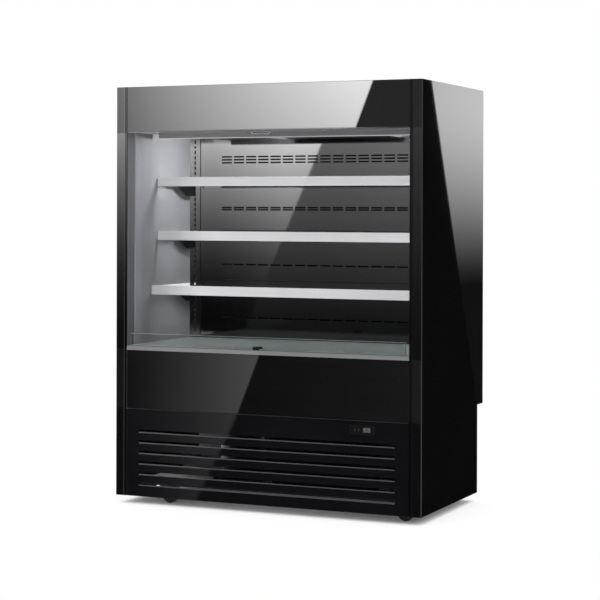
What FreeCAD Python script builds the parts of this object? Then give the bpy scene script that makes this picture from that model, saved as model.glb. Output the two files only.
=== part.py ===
import FreeCAD, Part

import math
import os

from FreeCAD import Vector

# An open-front refrigerated display case: a foamed cabinet on casters, three glass shelves
# behind an air curtain, a night curtain in the canopy, the evaporator in a tub under the deck
# and the condensing unit behind a louvred panel at the bottom.
#
# Millimetres. +X is to the right of somebody facing the case, +Y goes to its back, +Z is up.
# The origin is the middle of the overall outline, on the floor.

# ---- overall ---------------------------------------------------------------------------
WIDTH = 1290.0
DEPTH = 725.0
HEIGHT = 1650.0
BASE_DEPTH = 656.0
FLOOR_GAP = 32.0
STEP_HEIGHT = 385.0

# ---- cabinet shell ---------------------------------------------------------------------
END_WALL = 37.0
LINER_WALL = 12.0
REAR_WALL = 50.0
ROOF_WALL = 40.0
TUB_WALL = 40.0
SHEET = 2.0
THIN_SHEET = 1.5
SEAM = 0.6
EDGE_ROUND = 6.0
LINE_BEVEL = 1.2
POST_DEPTH = 40.0

# ---- canopy ----------------------------------------------------------------------------
FASCIA_HEIGHT = 180.0
FASCIA_DEPTH = 18.0
FASCIA_LIP_HEIGHT = 6.0
FASCIA_LIP_STEP = 3.0
CEILING_RAISE = 2.0
PLENUM_FRONT = 103.0
OUTLET_DEPTH = 70.0
OUTLET_HEIGHT = 18.0
OUTLET_ROWS = 3
OUTLET_COLUMNS = 24
OUTLET_WEB = 3.0
LAMP_BACK_FROM_FRONT = 224.0
LAMP_WIDTH = 28.0
LAMP_HEIGHT = 18.0
LAMP_END_GAP = 36.0

# ---- front, riser and deck -------------------------------------------------------------
FRONT_PANEL_HEIGHT = 220.0
FRONT_PANEL_DEPTH = 18.0
FRONT_PANEL_DROP = 10.0
PANEL_ROUND = 1.5
CHANNEL_HEIGHT = 16.0
CHANNEL_DEPTH = 14.0
CHANNEL_FLOOR = 4.0
RISER_ABOVE_CHANNEL = 50.0
RISER_THICKNESS = 6.0
RISER_END_GAP = 16.0
GLASS_PLAY = 0.3
DECK_RAISE = 2.0
INLET_THICKNESS = 8.0
INLET_DEPTH = 98.0
INLET_ROWS = 3
INLET_COLUMNS = 20
INLET_WEB = 6.0
DECK_PAN_FLANGE = 22.0
DECK_PLAY = 1.5
LEDGE_WIDTH = 12.0
LEDGE_HEIGHT = 8.0
CATCH_X = -36.0
CATCH_WIDTH = 26.0

# ---- display back wall and shelves -----------------------------------------------------
DUCT_FACE_DEPTH = 541.0
DUCT_PANEL_FOOT = 560.0
DUCT_RETURN = 12.0
DUCT_SIDE_GAP = 3.5
STANDARD_WIDTH = 48.0
STANDARD_DEPTH = 20.0
SLOT_PITCH = 22.0
SLOT_HEIGHT = 14.0
SLOT_WIDTH = 7.0
SCREW_SLOT = 1
SCREW_HOLE_RADIUS = 4.5
SLOT_FROM_LINER = 24.0
TOP_SLOT_BELOW_CEILING = 21.0
AIR_SLOT_LENGTH = 47.0
AIR_SLOT_GAP = 9.3
AIR_SLOT_HEIGHT = 6.0
AIR_SIDE_MARGIN = 97.0
AIR_ABOVE_DECK = (87.0,)
AIR_ABOVE_SHELF = ((97.0,), (106.5, 115.5), (83.4, 95.9, 108.4))
SHELF_TOP_SHARE = 0.25
SHELF_STEP_SHARE = 0.27
SHELF_ABOVE_SLOT = 26.0
SHELF_DEPTHS = (343.0, 293.0, 293.0)
SHELF_END_GAP = 3.0
SHELF_GLASS = 8.0
RAIL_HEIGHT = 37.0
RAIL_WALL = 2.0
RAIL_LIP = 14.0
BRACKET_WALL = 3.0
BRACKET_FLANGE = 14.0
BRACKET_DEPTH = 65.0
BRACKET_NOSE = 14.0
BRACKET_TAPER = 162.0
BRACKET_HEEL = 82.0
HOOK_HEIGHT = 8.0
HOOK_DROP = 5.0
HOOK_WALL = 4.0
TRIM_FROM_FRONT = 60.0
TRIM_DEPTH = 50.0
TRIM_WALL = 6.0

# ---- night curtain ---------------------------------------------------------------------
CURTAIN_FROM_FRONT = 52.0
CURTAIN_SHEET = 1.0
CURTAIN_END_GAP = 11.0
ROLLER_BELOW_TOP = 90.0
ROLLER_TUBE = 19.0
ROLLER_WOUND = 24.0
ROLLER_PIN = 6.0
ROLLER_PIN_LENGTH = 9.0
BOSS_RADIUS = 15.0
BOSS_LENGTH = 5.0
BAR_RADIUS = 7.0
BAR_BELOW_ROLLER = 75.0
HANDLE_WIDTH = 80.0
HANDLE_WIRE = 2.5
HANDLE_DROP = 25.5

# ---- machine room ----------------------------------------------------------------------
BASE_PAN_ABOVE_WHEELS = 18.0
BASE_PAN_WALL = 3.0
BASE_PAN_FLANGE = 25.0
LOUVRE_ABOVE_FOOT = 44.0
LOUVRE_PITCH = 41.6
LOUVRE_END_GAP = 56.0
LOUVRE_OPENING = 10.0
LOUVRE_LIP = 4.4
LOUVRE_SET_BACK = 2.0
GRILLE_DEPTH = 18.0
GRILLE_SIDE_PLAY = 1.5
GRILLE_TOP_GAP = 3.0
PEG_RADIUS = 3.0
PEG_LENGTH = 6.0
PEG_FROM_END = 30.0
REAR_SLOT_LENGTH = 220.0
REAR_SLOT_HEIGHT = 8.0
REAR_SLOT_PITCH = 24.0
REAR_SLOT_ROWS = 5
REAR_SLOT_BELOW_TOP = 37.0
REAR_SLOT_COLUMNS = 3
REAR_SLOT_GAP = 80.0
REAR_SLOT_MIDDLE = -90.0
COVER_FOLD = 17.0
CONTROLLER_FROM_LINER = 185.5
CONTROLLER_BELOW_TUB = 46.0
CONTROLLER_MARGIN = 15.0
CONTROLLER_WIDTH = 105.0
CONTROLLER_HEIGHT = 34.0
CONTROLLER_BODY_WIDTH = 71.0
CONTROLLER_BODY_HEIGHT = 29.0
CONTROLLER_BODY_DEPTH = 56.0
CONTROLLER_BEZEL = 1.6
DISPLAY_OFFSET = 14.0
DISPLAY_WIDTH = 38.0
DISPLAY_HEIGHT = 20.0
DISPLAY_RECESS = 0.8
KEY_RADIUS = 4.6
KEY_OFFSETS = (-30.0, -15.0)
KEY_LENGTH = 2.6
KEY_PROUD = 0.2
KEY_POCKET = 5.0
COIL_FROM_LINER = 366.0
COIL_WIDTH = 420.0
COIL_BELOW_CONTROLLER = 12.0
COIL_DEPTH = 44.0
COIL_FROM_FRONT = 48.0
COIL_FIN_COUNT = 42
CONDENSER_FAN_MARGIN = 14.0
EVAPORATOR_LEFT_GAP = 96.0
EVAPORATOR_RIGHT_GAP = 176.0
EVAPORATOR_HEIGHT = 124.0
EVAPORATOR_DEPTH = 100.0
EVAPORATOR_FROM_FRONT = 345.0
EVAPORATOR_FIN_COUNT = 60
FAN_PLATE_FROM_FRONT = 262.0
EVAPORATOR_FAN_RADIUS = 77.0
EVAPORATOR_FAN_FROM_LINER = 326.0
EVAPORATOR_FAN_ABOVE_FLOOR = 86.0
COMPRESSOR_FROM_LINER = 356.0
COMPRESSOR_FROM_FRONT = 330.0
COMPRESSOR_RADIUS = 90.0
COMPRESSOR_BELOW_COIL = 46.0
COMPRESSOR_FOOT = 15.0
COMPRESSOR_FOOT_LENGTH = 230.0
COMPRESSOR_FOOT_DEPTH = 140.0
TERMINAL_BOX_WIDTH = 64.0
TERMINAL_BOX_HEIGHT = 70.0
DISCHARGE_BELOW_COIL = 20.0
PAN_LENGTH = 360.0
PAN_DEPTH = 170.0
PAN_HEIGHT = 50.0
DRAIN_FROM_LINER = 196.0
DRAIN_FROM_FRONT = 535.0
DRAIN_RADIUS = 11.0
DRAIN_ABOVE_PAN = 12.0
GLAND_FROM_LINER = 96.0
GLAND_ABOVE_PAN = 42.0
GLAND_RADIUS = 13.0
GLAND_BORE = 5.0
LINE_HOLE_FROM_LINER = 96.0
LINE_HOLE_FROM_FRONT = 450.0
LINE_HOLE_RADIUS = 22.0
SUCTION_RADIUS = 6.0
LIQUID_RADIUS = 4.0

# ---- casters ---------------------------------------------------------------------------
CASTER_FROM_LEFT_END = 135.0
CASTER_FROM_RIGHT_END = 83.0
CASTER_INSET = 92.0
WHEEL_RADIUS = 30.0
WHEEL_WIDTH = 24.0
CASTER_TRAIL = 26.0
CASTER_PLATE = 3.0
CASTER_PLATE_LENGTH = 84.0
CASTER_PLATE_WIDTH = 68.0
AXLE_RADIUS = 4.0
KINGPIN_RADIUS = 5.0
FORK_WALL = 3.0
PEDAL_PIN_RADIUS = 2.5
RUNNING_FIT = 0.05
GAP = 0.3

# ---- planes and levels worked out from the sizes above ---------------------------------
FRONT = -DEPTH / 2
BACK = DEPTH / 2
BASE_BACK = FRONT + BASE_DEPTH
X_OUTER = WIDTH / 2
X_END = X_OUTER - END_WALL
X_INNER = X_END - LINER_WALL
X_PANEL = X_INNER - SEAM
WALL_FRONT = BACK - REAR_WALL
TUB_BOTTOM = STEP_HEIGHT + 4.0
TUB_FLOOR = TUB_BOTTOM + TUB_WALL
PANEL_FOOT = TUB_BOTTOM - FRONT_PANEL_DROP
GRILLE_TOP = PANEL_FOOT - GRILLE_TOP_GAP
CHANNEL_BOTTOM = TUB_BOTTOM + FRONT_PANEL_HEIGHT
CHANNEL_TOP = CHANNEL_BOTTOM + CHANNEL_HEIGHT
DECK_TOP = CHANNEL_TOP + DECK_RAISE
TUB_TOP = DECK_TOP - INLET_THICKNESS
FASCIA_BOTTOM = HEIGHT - FASCIA_HEIGHT
CEILING = FASCIA_BOTTOM + CEILING_RAISE
CEILING_TOP = CEILING + SHEET
DUCT_FACE = FRONT + DUCT_FACE_DEPTH
STANDARD_INNER = X_INNER - STANDARD_WIDTH
SLOT_X = X_INNER - SLOT_FROM_LINER
DECK_PAN_FRONT = FRONT + CHANNEL_DEPTH + INLET_DEPTH + DECK_PLAY
DECK_PAN_X = X_INNER - 4.0
LAMP_LENGTH = 2 * (X_INNER - LAMP_END_GAP)
RISER_LENGTH = 2 * (X_INNER - RISER_END_GAP)
SHELF_LENGTH = 2 * (X_INNER - SHELF_END_GAP)
CURTAIN_LENGTH = 2 * (X_INNER - CURTAIN_END_GAP)
LOUVRE_LENGTH = 2 * (X_INNER - LOUVRE_END_GAP)
TOP_SLOT = CEILING - TOP_SLOT_BELOW_CEILING
SLOT_COUNT = math.floor((TOP_SLOT - DECK_TOP) / SLOT_PITCH)
SHELF_TOP = math.floor(SLOT_COUNT * SHELF_TOP_SHARE)
SHELF_STEP = round(SLOT_COUNT * SHELF_STEP_SHARE)
SHELF_SLOTS = (SHELF_TOP + 2 * SHELF_STEP, SHELF_TOP + SHELF_STEP, SHELF_TOP)
SHELF_HEIGHTS = [TOP_SLOT - SLOT_PITCH * slot + SHELF_ABOVE_SLOT for slot in SHELF_SLOTS]
ROLLER_HEIGHT = HEIGHT - ROLLER_BELOW_TOP
BAR_HEIGHT = ROLLER_HEIGHT - BAR_BELOW_ROLLER
CURTAIN_Y = FRONT + CURTAIN_FROM_FRONT
ROLLER_Y = CURTAIN_Y + ROLLER_WOUND
GRILLE_FACE = FRONT + LOUVRE_SET_BACK
GRILLE_BACK = GRILLE_FACE + GRILLE_DEPTH
PEG_Y = GRILLE_BACK - 2 * PEG_RADIUS
PEG_HEIGHTS = (FLOOR_GAP + PEG_FROM_END, GRILLE_TOP - PEG_FROM_END)
CONTROLLER_X = X_INNER - CONTROLLER_FROM_LINER
CONTROLLER_Z = TUB_BOTTOM - CONTROLLER_BELOW_TUB
LOUVRE_FIRST = FLOOR_GAP + LOUVRE_ABOVE_FOOT
LOUVRE_TOP = CONTROLLER_Z - CONTROLLER_HEIGHT / 2 - CONTROLLER_MARGIN - LOUVRE_OPENING
LOUVRE_SPACE = LOUVRE_TOP - LOUVRE_FIRST
COIL_X = X_INNER - COIL_FROM_LINER
EVAPORATOR_LEFT = -X_INNER + EVAPORATOR_LEFT_GAP
EVAPORATOR_RIGHT = X_INNER - EVAPORATOR_RIGHT_GAP
EVAPORATOR_FAN_X = X_INNER - EVAPORATOR_FAN_FROM_LINER
EVAPORATOR_FAN_Z = TUB_FLOOR + EVAPORATOR_FAN_ABOVE_FLOOR
COMPRESSOR_X = -X_INNER + COMPRESSOR_FROM_LINER
DRAIN_X = -X_INNER + DRAIN_FROM_LINER
GLAND_X = X_INNER - GLAND_FROM_LINER
LINE_HOLE_X = X_INNER - LINE_HOLE_FROM_LINER
CASTER_XS = (-X_END + CASTER_FROM_LEFT_END, X_END - CASTER_FROM_RIGHT_END)
BASE_PAN_HEIGHT = 2 * WHEEL_RADIUS + BASE_PAN_ABOVE_WHEELS
COIL_TOP = CONTROLLER_Z - CONTROLLER_HEIGHT / 2 - COIL_BELOW_CONTROLLER
COIL_HEIGHT = COIL_TOP - BASE_PAN_HEIGHT
CONDENSER_FAN_RADIUS = COIL_HEIGHT / 2 - CONDENSER_FAN_MARGIN
COMPRESSOR_HEIGHT = COIL_HEIGHT - COMPRESSOR_BELOW_COIL
GLAND_Z = BASE_PAN_HEIGHT + GLAND_ABOVE_PAN
DRAIN_FOOT = BASE_PAN_HEIGHT + PAN_HEIGHT + DRAIN_ABOVE_PAN
CASTER_PLATE_BOTTOM = BASE_PAN_HEIGHT - BASE_PAN_WALL - CASTER_PLATE


# ---- helpers ---------------------------------------------------------------------------
def block(x0, x1, y0, y1, z0, z1):
    return Part.makeBox(x1 - x0, y1 - y0, z1 - z0, Vector(x0, y0, z0))


def face_of(points):
    return Part.Face(Part.makePolygon(points + points[:1]))


def extrude_x(outline, x0, x1):
    """Push an outline of (y, z) points along X."""
    points = [Vector(x0, y, z) for y, z in outline]
    return face_of(points).extrude(Vector(x1 - x0, 0, 0))


def extrude_y(outline, y0, y1):
    """Push an outline of (x, z) points along Y."""
    points = [Vector(x, y0, z) for x, z in outline]
    return face_of(points).extrude(Vector(0, y1 - y0, 0))


def extrude_z(outline, z0, z1):
    """Push an outline of (x, y) points along Z."""
    points = [Vector(x, y, z0) for x, y in outline]
    return face_of(points).extrude(Vector(0, 0, z1 - z0))


def cylinder(radius, start, direction, length):
    return Part.makeCylinder(radius, length, Vector(*start), Vector(*direction))


def tube(outer, inner, start, direction, length):
    return cylinder(outer, start, direction, length).cut(cylinder(inner, start, direction, length))


def turned(profile, centre, axis):
    """Revolve (radius, along) points about an axis through the centre."""
    axis = Vector(*axis)
    across = Vector(0, 0, 1) if abs(axis.z) < 0.5 else Vector(1, 0, 0)
    points = [Vector(*centre) + across * radius + axis * along for radius, along in profile]
    return face_of(points).revolve(Vector(*centre), axis, 360)


def join(first, *others):
    return first.fuse(list(others)).removeSplitter()


def mirrored(shape):
    return shape.mirror(Vector(0, 0, 0), Vector(1, 0, 0))


def edges_on(shape, **place):
    """The edges whose two ends lie on the given coordinates, such as y=FRONT."""
    found = []
    for edge in shape.Edges:
        ends = [vertex.Point for vertex in edge.Vertexes]
        misses = [abs(getattr(end, name) - value) for end in ends for name, value in place.items()]
        if max(misses) < 0.01:
            found.append(edge)
    return found


def row(count, pitch, middle=0.0):
    """Evenly spaced positions about a middle."""
    start = middle - pitch * (count - 1) / 2
    return [start + pitch * index for index in range(count)]


def finned_block(x0, x1, y0, y1, z0, z1, fins, groove):
    """A tube-and-fin core: a block whose front and back are grooved between upright fins."""
    pitch = (x1 - x0) / fins
    gap = pitch * 0.55
    spans = []
    for index in range(fins):
        left = x0 + pitch * index + gap / 2
        spans.append((left, left + pitch - gap))
    outline = [(x0, y0 + groove)]
    for left, right in spans:
        outline += [(left, y0 + groove), (left, y0), (right, y0), (right, y0 + groove)]
    outline += [(x1, y0 + groove), (x1, y1 - groove)]
    for left, right in reversed(spans):
        outline += [(right, y1 - groove), (right, y1), (left, y1), (left, y1 - groove)]
    outline += [(x0, y1 - groove)]
    return extrude_z(outline, z0, z1)


def axial_fan(centre, radius, hub, depth, blades, shaft, shaft_length):
    """A fan that turns about Y: a domed hub, pitched blades lofted from root to tip, and its shaft."""
    x, y, z = centre
    front = y - depth / 2
    back = y + depth / 2
    dome = [(0, front), (hub * 0.7, front), (hub, front + depth * 0.25), (hub, back), (0, back)]
    body = turned([(r, along - y) for r, along in dome], centre, (0, 1, 0))
    sections = ((hub * 0.9, 0.34, 0.42), (radius * 0.72, 0.5, 0.3), (radius, 0.5, 0.22))
    blade_wires = []
    for reach, half_angle, half_depth in sections:
        swing = half_angle * math.pi / blades * 1.5
        near = front + depth * (0.5 - half_depth)
        far = front + depth * (0.5 + half_depth)
        wall = SHEET * 0.6
        points = []
        for turn, along in ((-swing, near), (-swing, near + wall), (swing, far), (swing, far - wall)):
            points.append(Vector(x + reach * math.sin(turn), along, z + reach * math.cos(turn)))
        blade_wires.append(Part.makePolygon(points + points[:1]))
    blade = Part.makeLoft(blade_wires, True, True)
    parts = []
    for index in range(blades):
        copy = blade.copy()
        copy.rotate(Vector(x, y, z), Vector(0, 1, 0), 360.0 * index / blades)
        parts.append(copy)
    parts.append(cylinder(shaft, (x, back, z), (0, 1, 0), shaft_length))
    return join(body, *parts)


def pipe(points, radius, bend):
    """A bent tube: straight runs joined by torus bends that touch them."""
    points = [Vector(*point) for point in points]
    pieces = []
    last = points[0]
    for before, corner, after in zip(points, points[1:], points[2:]):
        inward = (before - corner).normalize()
        outward = (after - corner).normalize()
        opening = inward.getAngle(outward)
        reach = bend / math.tan(opening / 2)
        first = corner + inward * reach
        axis = outward.cross(inward).normalize()
        centre = corner + (inward + outward).normalize() * (bend / math.sin(opening / 2))
        ring = Part.Face(Part.Wire(Part.makeCircle(radius, first, inward)))
        pieces.append(ring.revolve(centre, axis, 180 - math.degrees(opening)))
        pieces.append(Part.makeCylinder(radius, (first - last).Length, last, first - last))
        last = corner + outward * reach
    pieces.append(Part.makeCylinder(radius, (points[-1] - last).Length, last, points[-1] - last))
    return join(*pieces)


NODES = {}


def node(name, *shapes):
    NODES[name] = shapes[0] if len(shapes) == 1 else Part.makeCompound(list(shapes))


# ---- cabinet shell ---------------------------------------------------------------------
def end_panel():
    """The foamed end: one outline from floor to top, stepped in at the back of the base."""
    outline = [
        (FRONT, FLOOR_GAP), (BASE_BACK, FLOOR_GAP), (BASE_BACK, STEP_HEIGHT),
        (BACK, STEP_HEIGHT), (BACK, HEIGHT), (FRONT, HEIGHT),
    ]
    panel = extrude_x(outline, X_END, X_OUTER)
    panel = panel.makeFillet(EDGE_ROUND, edges_on(panel, x=X_OUTER, y=FRONT))
    return panel.makeChamfer(LINE_BEVEL, edges_on(panel, x=X_END, y=FRONT))


def side_liner():
    """The inner skin, with the post beside the base, the panel's pegs, the deck ledge and a boss."""
    outline = [
        (FRONT, FLOOR_GAP), (FRONT + POST_DEPTH, FLOOR_GAP), (FRONT + POST_DEPTH, TUB_BOTTOM),
        (WALL_FRONT, TUB_BOTTOM), (WALL_FRONT, HEIGHT), (FRONT, HEIGHT),
    ]
    liner = extrude_x(outline, X_INNER, X_END)
    liner = liner.makeChamfer(LINE_BEVEL, edges_on(liner, x=X_END, y=FRONT))
    ledge_top = DECK_TOP - DECK_PAN_FLANGE - GAP
    ledge = block(X_INNER - LEDGE_WIDTH, X_INNER, DECK_PAN_FRONT, DUCT_FACE - DECK_PLAY,
                  ledge_top - LEDGE_HEIGHT, ledge_top)
    boss_face = (X_INNER - BOSS_LENGTH, ROLLER_Y, ROLLER_HEIGHT)
    boss = cylinder(BOSS_RADIUS, boss_face, (1, 0, 0), BOSS_LENGTH)
    bore = cylinder(ROLLER_PIN + RUNNING_FIT, boss_face, (1, 0, 0), BOSS_LENGTH + LINER_WALL / 2)
    pegs = []
    for z in PEG_HEIGHTS:
        pegs.append(cylinder(PEG_RADIUS, (X_INNER - PEG_LENGTH, PEG_Y, z), (1, 0, 0), PEG_LENGTH))
    return join(liner, ledge, boss, *pegs).cut(bore)


def side_trim():
    """The strip that closes the liner behind the air curtain, with its two long edges rounded."""
    trim = block(X_INNER - TRIM_WALL, X_INNER, FRONT + TRIM_FROM_FRONT,
                 FRONT + TRIM_FROM_FRONT + TRIM_DEPTH, DECK_TOP, CEILING)
    return trim.makeFillet(TRIM_WALL / 3, edges_on(trim, x=X_INNER - TRIM_WALL)[::2])


def insulated_tub():
    """The foamed floor and front wall that hold the evaporator, with the drain down to the pan."""
    front = FRONT + FRONT_PANEL_DEPTH
    outline = [
        (front, TUB_BOTTOM), (WALL_FRONT, TUB_BOTTOM), (WALL_FRONT, TUB_FLOOR),
        (front + TUB_WALL, TUB_FLOOR), (front + TUB_WALL, TUB_TOP), (front, TUB_TOP),
    ]
    tub = extrude_x(outline, -X_INNER, X_INNER)
    drain = (DRAIN_X, FRONT + DRAIN_FROM_FRONT, DRAIN_FOOT)
    spout = cylinder(DRAIN_RADIUS, drain, (0, 0, 1), TUB_BOTTOM - DRAIN_FOOT)
    bore = cylinder(DRAIN_RADIUS - SHEET, drain, (0, 0, 1), TUB_FLOOR - DRAIN_FOOT)
    sump = Part.makeCone(DRAIN_RADIUS, DRAIN_RADIUS * 3, TUB_WALL / 4,
                         Vector(DRAIN_X, FRONT + DRAIN_FROM_FRONT, TUB_FLOOR - TUB_WALL / 4))
    line_hole = (LINE_HOLE_X, FRONT + LINE_HOLE_FROM_FRONT, TUB_BOTTOM)
    lines = cylinder(LINE_HOLE_RADIUS, line_hole, (0, 0, 1), TUB_WALL)
    return join(tub, spout).cut([bore, sump, lines])


def front_panel():
    panel = block(-X_PANEL, X_PANEL, FRONT, FRONT + FRONT_PANEL_DEPTH, PANEL_FOOT, CHANNEL_BOTTOM)
    return panel.makeFillet(PANEL_ROUND, edges_on(panel, y=FRONT))


def base_pan():
    """The tray that carries the condensing unit, with the four caster plates welded under it."""
    front = FRONT + POST_DEPTH + SEAM
    back = BASE_BACK - BASE_PAN_WALL
    bottom = BASE_PAN_HEIGHT - BASE_PAN_WALL
    side = X_END - SEAM
    pieces = [block(-side, side, front, back, bottom, BASE_PAN_HEIGHT)]
    flange_top = BASE_PAN_HEIGHT + BASE_PAN_FLANGE
    for edge in (front, back - BASE_PAN_WALL):
        pieces.append(block(-side, side, edge, edge + BASE_PAN_WALL, bottom, flange_top))
    bores = []
    for x, y in caster_places():
        half_x = CASTER_PLATE_LENGTH / 2
        half_y = CASTER_PLATE_WIDTH / 2
        plate = block(x - half_x, x + half_x, y - half_y, y + half_y, CASTER_PLATE_BOTTOM, bottom)
        corners = [edge for edge in plate.Edges if edge.BoundBox.ZLength > CASTER_PLATE / 2]
        pieces.append(plate.makeFillet(10, corners))
        bores.append(cylinder(KINGPIN_RADIUS + RUNNING_FIT, (x, y, CASTER_PLATE_BOTTOM), (0, 0, 1),
                              CASTER_PLATE + BASE_PAN_WALL))
    return join(*pieces).cut(bores)


def rear_base_cover():
    """The pressed cover behind the machine room: folded top and bottom, slotted for the warm air."""
    side = X_END - SEAM
    top = STEP_HEIGHT - GAP
    fold = BASE_BACK - COVER_FOLD
    sheet = block(-side, side, BASE_BACK - SHEET, BASE_BACK, FLOOR_GAP, top)
    folds = [block(-side, side, fold, BASE_BACK, z, z + SHEET) for z in (FLOOR_GAP, top - SHEET)]
    cuts = [cylinder(GLAND_RADIUS, (GLAND_X, BASE_BACK - SHEET, GLAND_Z), (0, 1, 0), SHEET)]
    half_x = REAR_SLOT_LENGTH / 2
    for x in row(REAR_SLOT_COLUMNS, REAR_SLOT_LENGTH + REAR_SLOT_GAP, REAR_SLOT_MIDDLE):
        for index in range(REAR_SLOT_ROWS):
            high = top - REAR_SLOT_BELOW_TOP - REAR_SLOT_PITCH * index
            cuts.append(block(x - half_x, x + half_x, BASE_BACK - SHEET, BASE_BACK,
                              high - REAR_SLOT_HEIGHT, high))
    return join(sheet, *folds).cut(cuts)


def cable_gland():
    """A flanged bush through the rear cover, with a lock nut on its inside."""
    profile = [
        (GLAND_BORE, -14), (GLAND_RADIUS, -14), (GLAND_RADIUS, -8), (GLAND_RADIUS + 4, -8),
        (GLAND_RADIUS + 4, -SHEET), (GLAND_RADIUS, -SHEET), (GLAND_RADIUS, 0), (GLAND_RADIUS + 4, 0),
        (GLAND_RADIUS + 3, 4), (GLAND_BORE + 3, 12), (GLAND_BORE, 12),
    ]
    return turned(profile, (GLAND_X, BASE_BACK, GLAND_Z), (0, 1, 0))


def build_shell():
    node("end_panel_right", end_panel())
    node("end_panel_left", mirrored(end_panel()))
    node("side_liner_right", side_liner())
    node("side_liner_left", mirrored(side_liner()))
    node("side_trims", side_trim(), mirrored(side_trim()))
    node("rear_wall", block(-X_END, X_END, WALL_FRONT, BACK, STEP_HEIGHT, HEIGHT))
    node("roof_panel", block(-X_INNER, X_INNER, FRONT + FASCIA_DEPTH, WALL_FRONT,
                             HEIGHT - ROOF_WALL, HEIGHT))
    node("insulated_tub", insulated_tub())
    node("front_panel", front_panel())
    node("base_pan", base_pan())
    node("rear_base_cover", rear_base_cover())
    node("cable_gland", cable_gland())


# ---- canopy ----------------------------------------------------------------------------
def canopy_fascia():
    """A folded pan, open at the back: a flat face over a set-back lip, with returns all round."""
    face = block(-X_PANEL, X_PANEL, FRONT, FRONT + FASCIA_DEPTH, FASCIA_BOTTOM, HEIGHT)
    face = face.makeFillet(PANEL_ROUND, edges_on(face, y=FRONT))
    lip_top = FASCIA_BOTTOM + FASCIA_LIP_HEIGHT
    lip_face = FRONT + FASCIA_LIP_STEP
    back = FRONT + FASCIA_DEPTH
    inner = X_PANEL - SHEET
    step = block(-X_PANEL, X_PANEL, FRONT, lip_face, FASCIA_BOTTOM, lip_top)
    hollow = block(-inner, inner, FRONT + SHEET, back, lip_top + SHEET, HEIGHT - SHEET)
    lip_hollow = block(-inner, inner, lip_face + SHEET, back, FASCIA_BOTTOM + SHEET, lip_top + SHEET)
    return face.cut([step, hollow, lip_hollow])


def canopy_ceiling():
    """The ceiling sheet with the plenum's front wall and the air outlet's egg-crate grille."""
    front = FRONT + PLENUM_FRONT
    outline = [
        (front, CEILING), (DUCT_FACE, CEILING), (DUCT_FACE, CEILING_TOP),
        (front + SHEET, CEILING_TOP), (front + SHEET, HEIGHT - ROOF_WALL), (front, HEIGHT - ROOF_WALL),
    ]
    ceiling = extrude_x(outline, -X_PANEL, X_PANEL)
    crate_front = front + 10
    crate = block(-X_PANEL + 10, X_PANEL - 10, crate_front, crate_front + OUTLET_DEPTH,
                  CEILING, CEILING + OUTLET_HEIGHT)
    cell_x = (2 * X_PANEL - 20 - OUTLET_WEB) / OUTLET_COLUMNS
    cell_y = (OUTLET_DEPTH - OUTLET_WEB) / OUTLET_ROWS
    cells = []
    half_x = (cell_x - OUTLET_WEB) / 2
    half_y = (cell_y - OUTLET_WEB) / 2
    for x in row(OUTLET_COLUMNS, cell_x):
        for y in row(OUTLET_ROWS, cell_y, crate_front + OUTLET_DEPTH / 2):
            cells.append(block(x - half_x, x + half_x, y - half_y, y + half_y,
                               CEILING, CEILING + OUTLET_HEIGHT))
    return join(ceiling, crate).cut(cells)


def lamp_outline(inset):
    back = FRONT + LAMP_BACK_FROM_FRONT
    return back - LAMP_WIDTH + inset, back - inset


def lamp_housing():
    """An extruded channel, open at the bottom, with two lips that hold the diffuser."""
    y0, y1 = lamp_outline(0)
    bottom = CEILING - LAMP_HEIGHT
    lip = bottom + 4
    under = CEILING - THIN_SHEET
    inner0 = y0 + THIN_SHEET
    inner1 = y1 - THIN_SHEET
    outline = [
        (y0, bottom), (y0 + 3, bottom), (y0 + 3, lip), (inner0, lip), (inner0, under), (inner1, under),
        (inner1, lip), (y1 - 3, lip), (y1 - 3, bottom), (y1, bottom), (y1, CEILING), (y0, CEILING),
    ]
    return extrude_x(outline, -LAMP_LENGTH / 2, LAMP_LENGTH / 2)


def lamp_diffuser():
    """A domed lens between the housing's lips."""
    y0, y1 = lamp_outline(3 + GAP / 2)
    bottom = CEILING - LAMP_HEIGHT
    x0 = -LAMP_LENGTH / 2 + 1
    section = ((y0, bottom), (y0, bottom + 4), (y1, bottom + 4), (y1, bottom))
    corners = [Vector(x0, y, z) for y, z in section]
    lines = [Part.LineSegment(a, b).toShape() for a, b in zip(corners, corners[1:])]
    dome = Part.Arc(corners[3], Vector(x0, (y0 + y1) / 2, bottom - 3), corners[0]).toShape()
    return Part.Face(Part.Wire(lines + [dome])).extrude(Vector(LAMP_LENGTH - 2, 0, 0))


def build_canopy():
    node("canopy_fascia", canopy_fascia())
    node("canopy_ceiling", canopy_ceiling())
    node("lamp_housing", lamp_housing())
    node("lamp_diffuser", lamp_diffuser())


# ---- riser and deck --------------------------------------------------------------------
def riser_channel():
    """An extruded channel on the front panel with the slot that the glass stands in."""
    middle = FRONT + CHANNEL_DEPTH / 2
    back = FRONT + CHANNEL_DEPTH
    near = middle - RISER_THICKNESS / 2 - GLASS_PLAY
    far = middle + RISER_THICKNESS / 2 + GLASS_PLAY
    floor = CHANNEL_BOTTOM + CHANNEL_FLOOR
    outline = [
        (FRONT, CHANNEL_BOTTOM), (FRONT, CHANNEL_TOP), (near, CHANNEL_TOP), (near, floor),
        (far, floor), (far, CHANNEL_TOP), (back, CHANNEL_TOP), (back, CHANNEL_BOTTOM),
    ]
    return extrude_x(outline, -X_PANEL, X_PANEL)


def riser_glass():
    middle = FRONT + CHANNEL_DEPTH / 2
    half = RISER_THICKNESS / 2
    top = CHANNEL_TOP + RISER_ABOVE_CHANNEL
    pane = block(-RISER_LENGTH / 2, RISER_LENGTH / 2, middle - half, middle + half,
                 CHANNEL_BOTTOM + CHANNEL_FLOOR, top)
    return pane.makeFillet(1.0, edges_on(pane, z=top))


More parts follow.
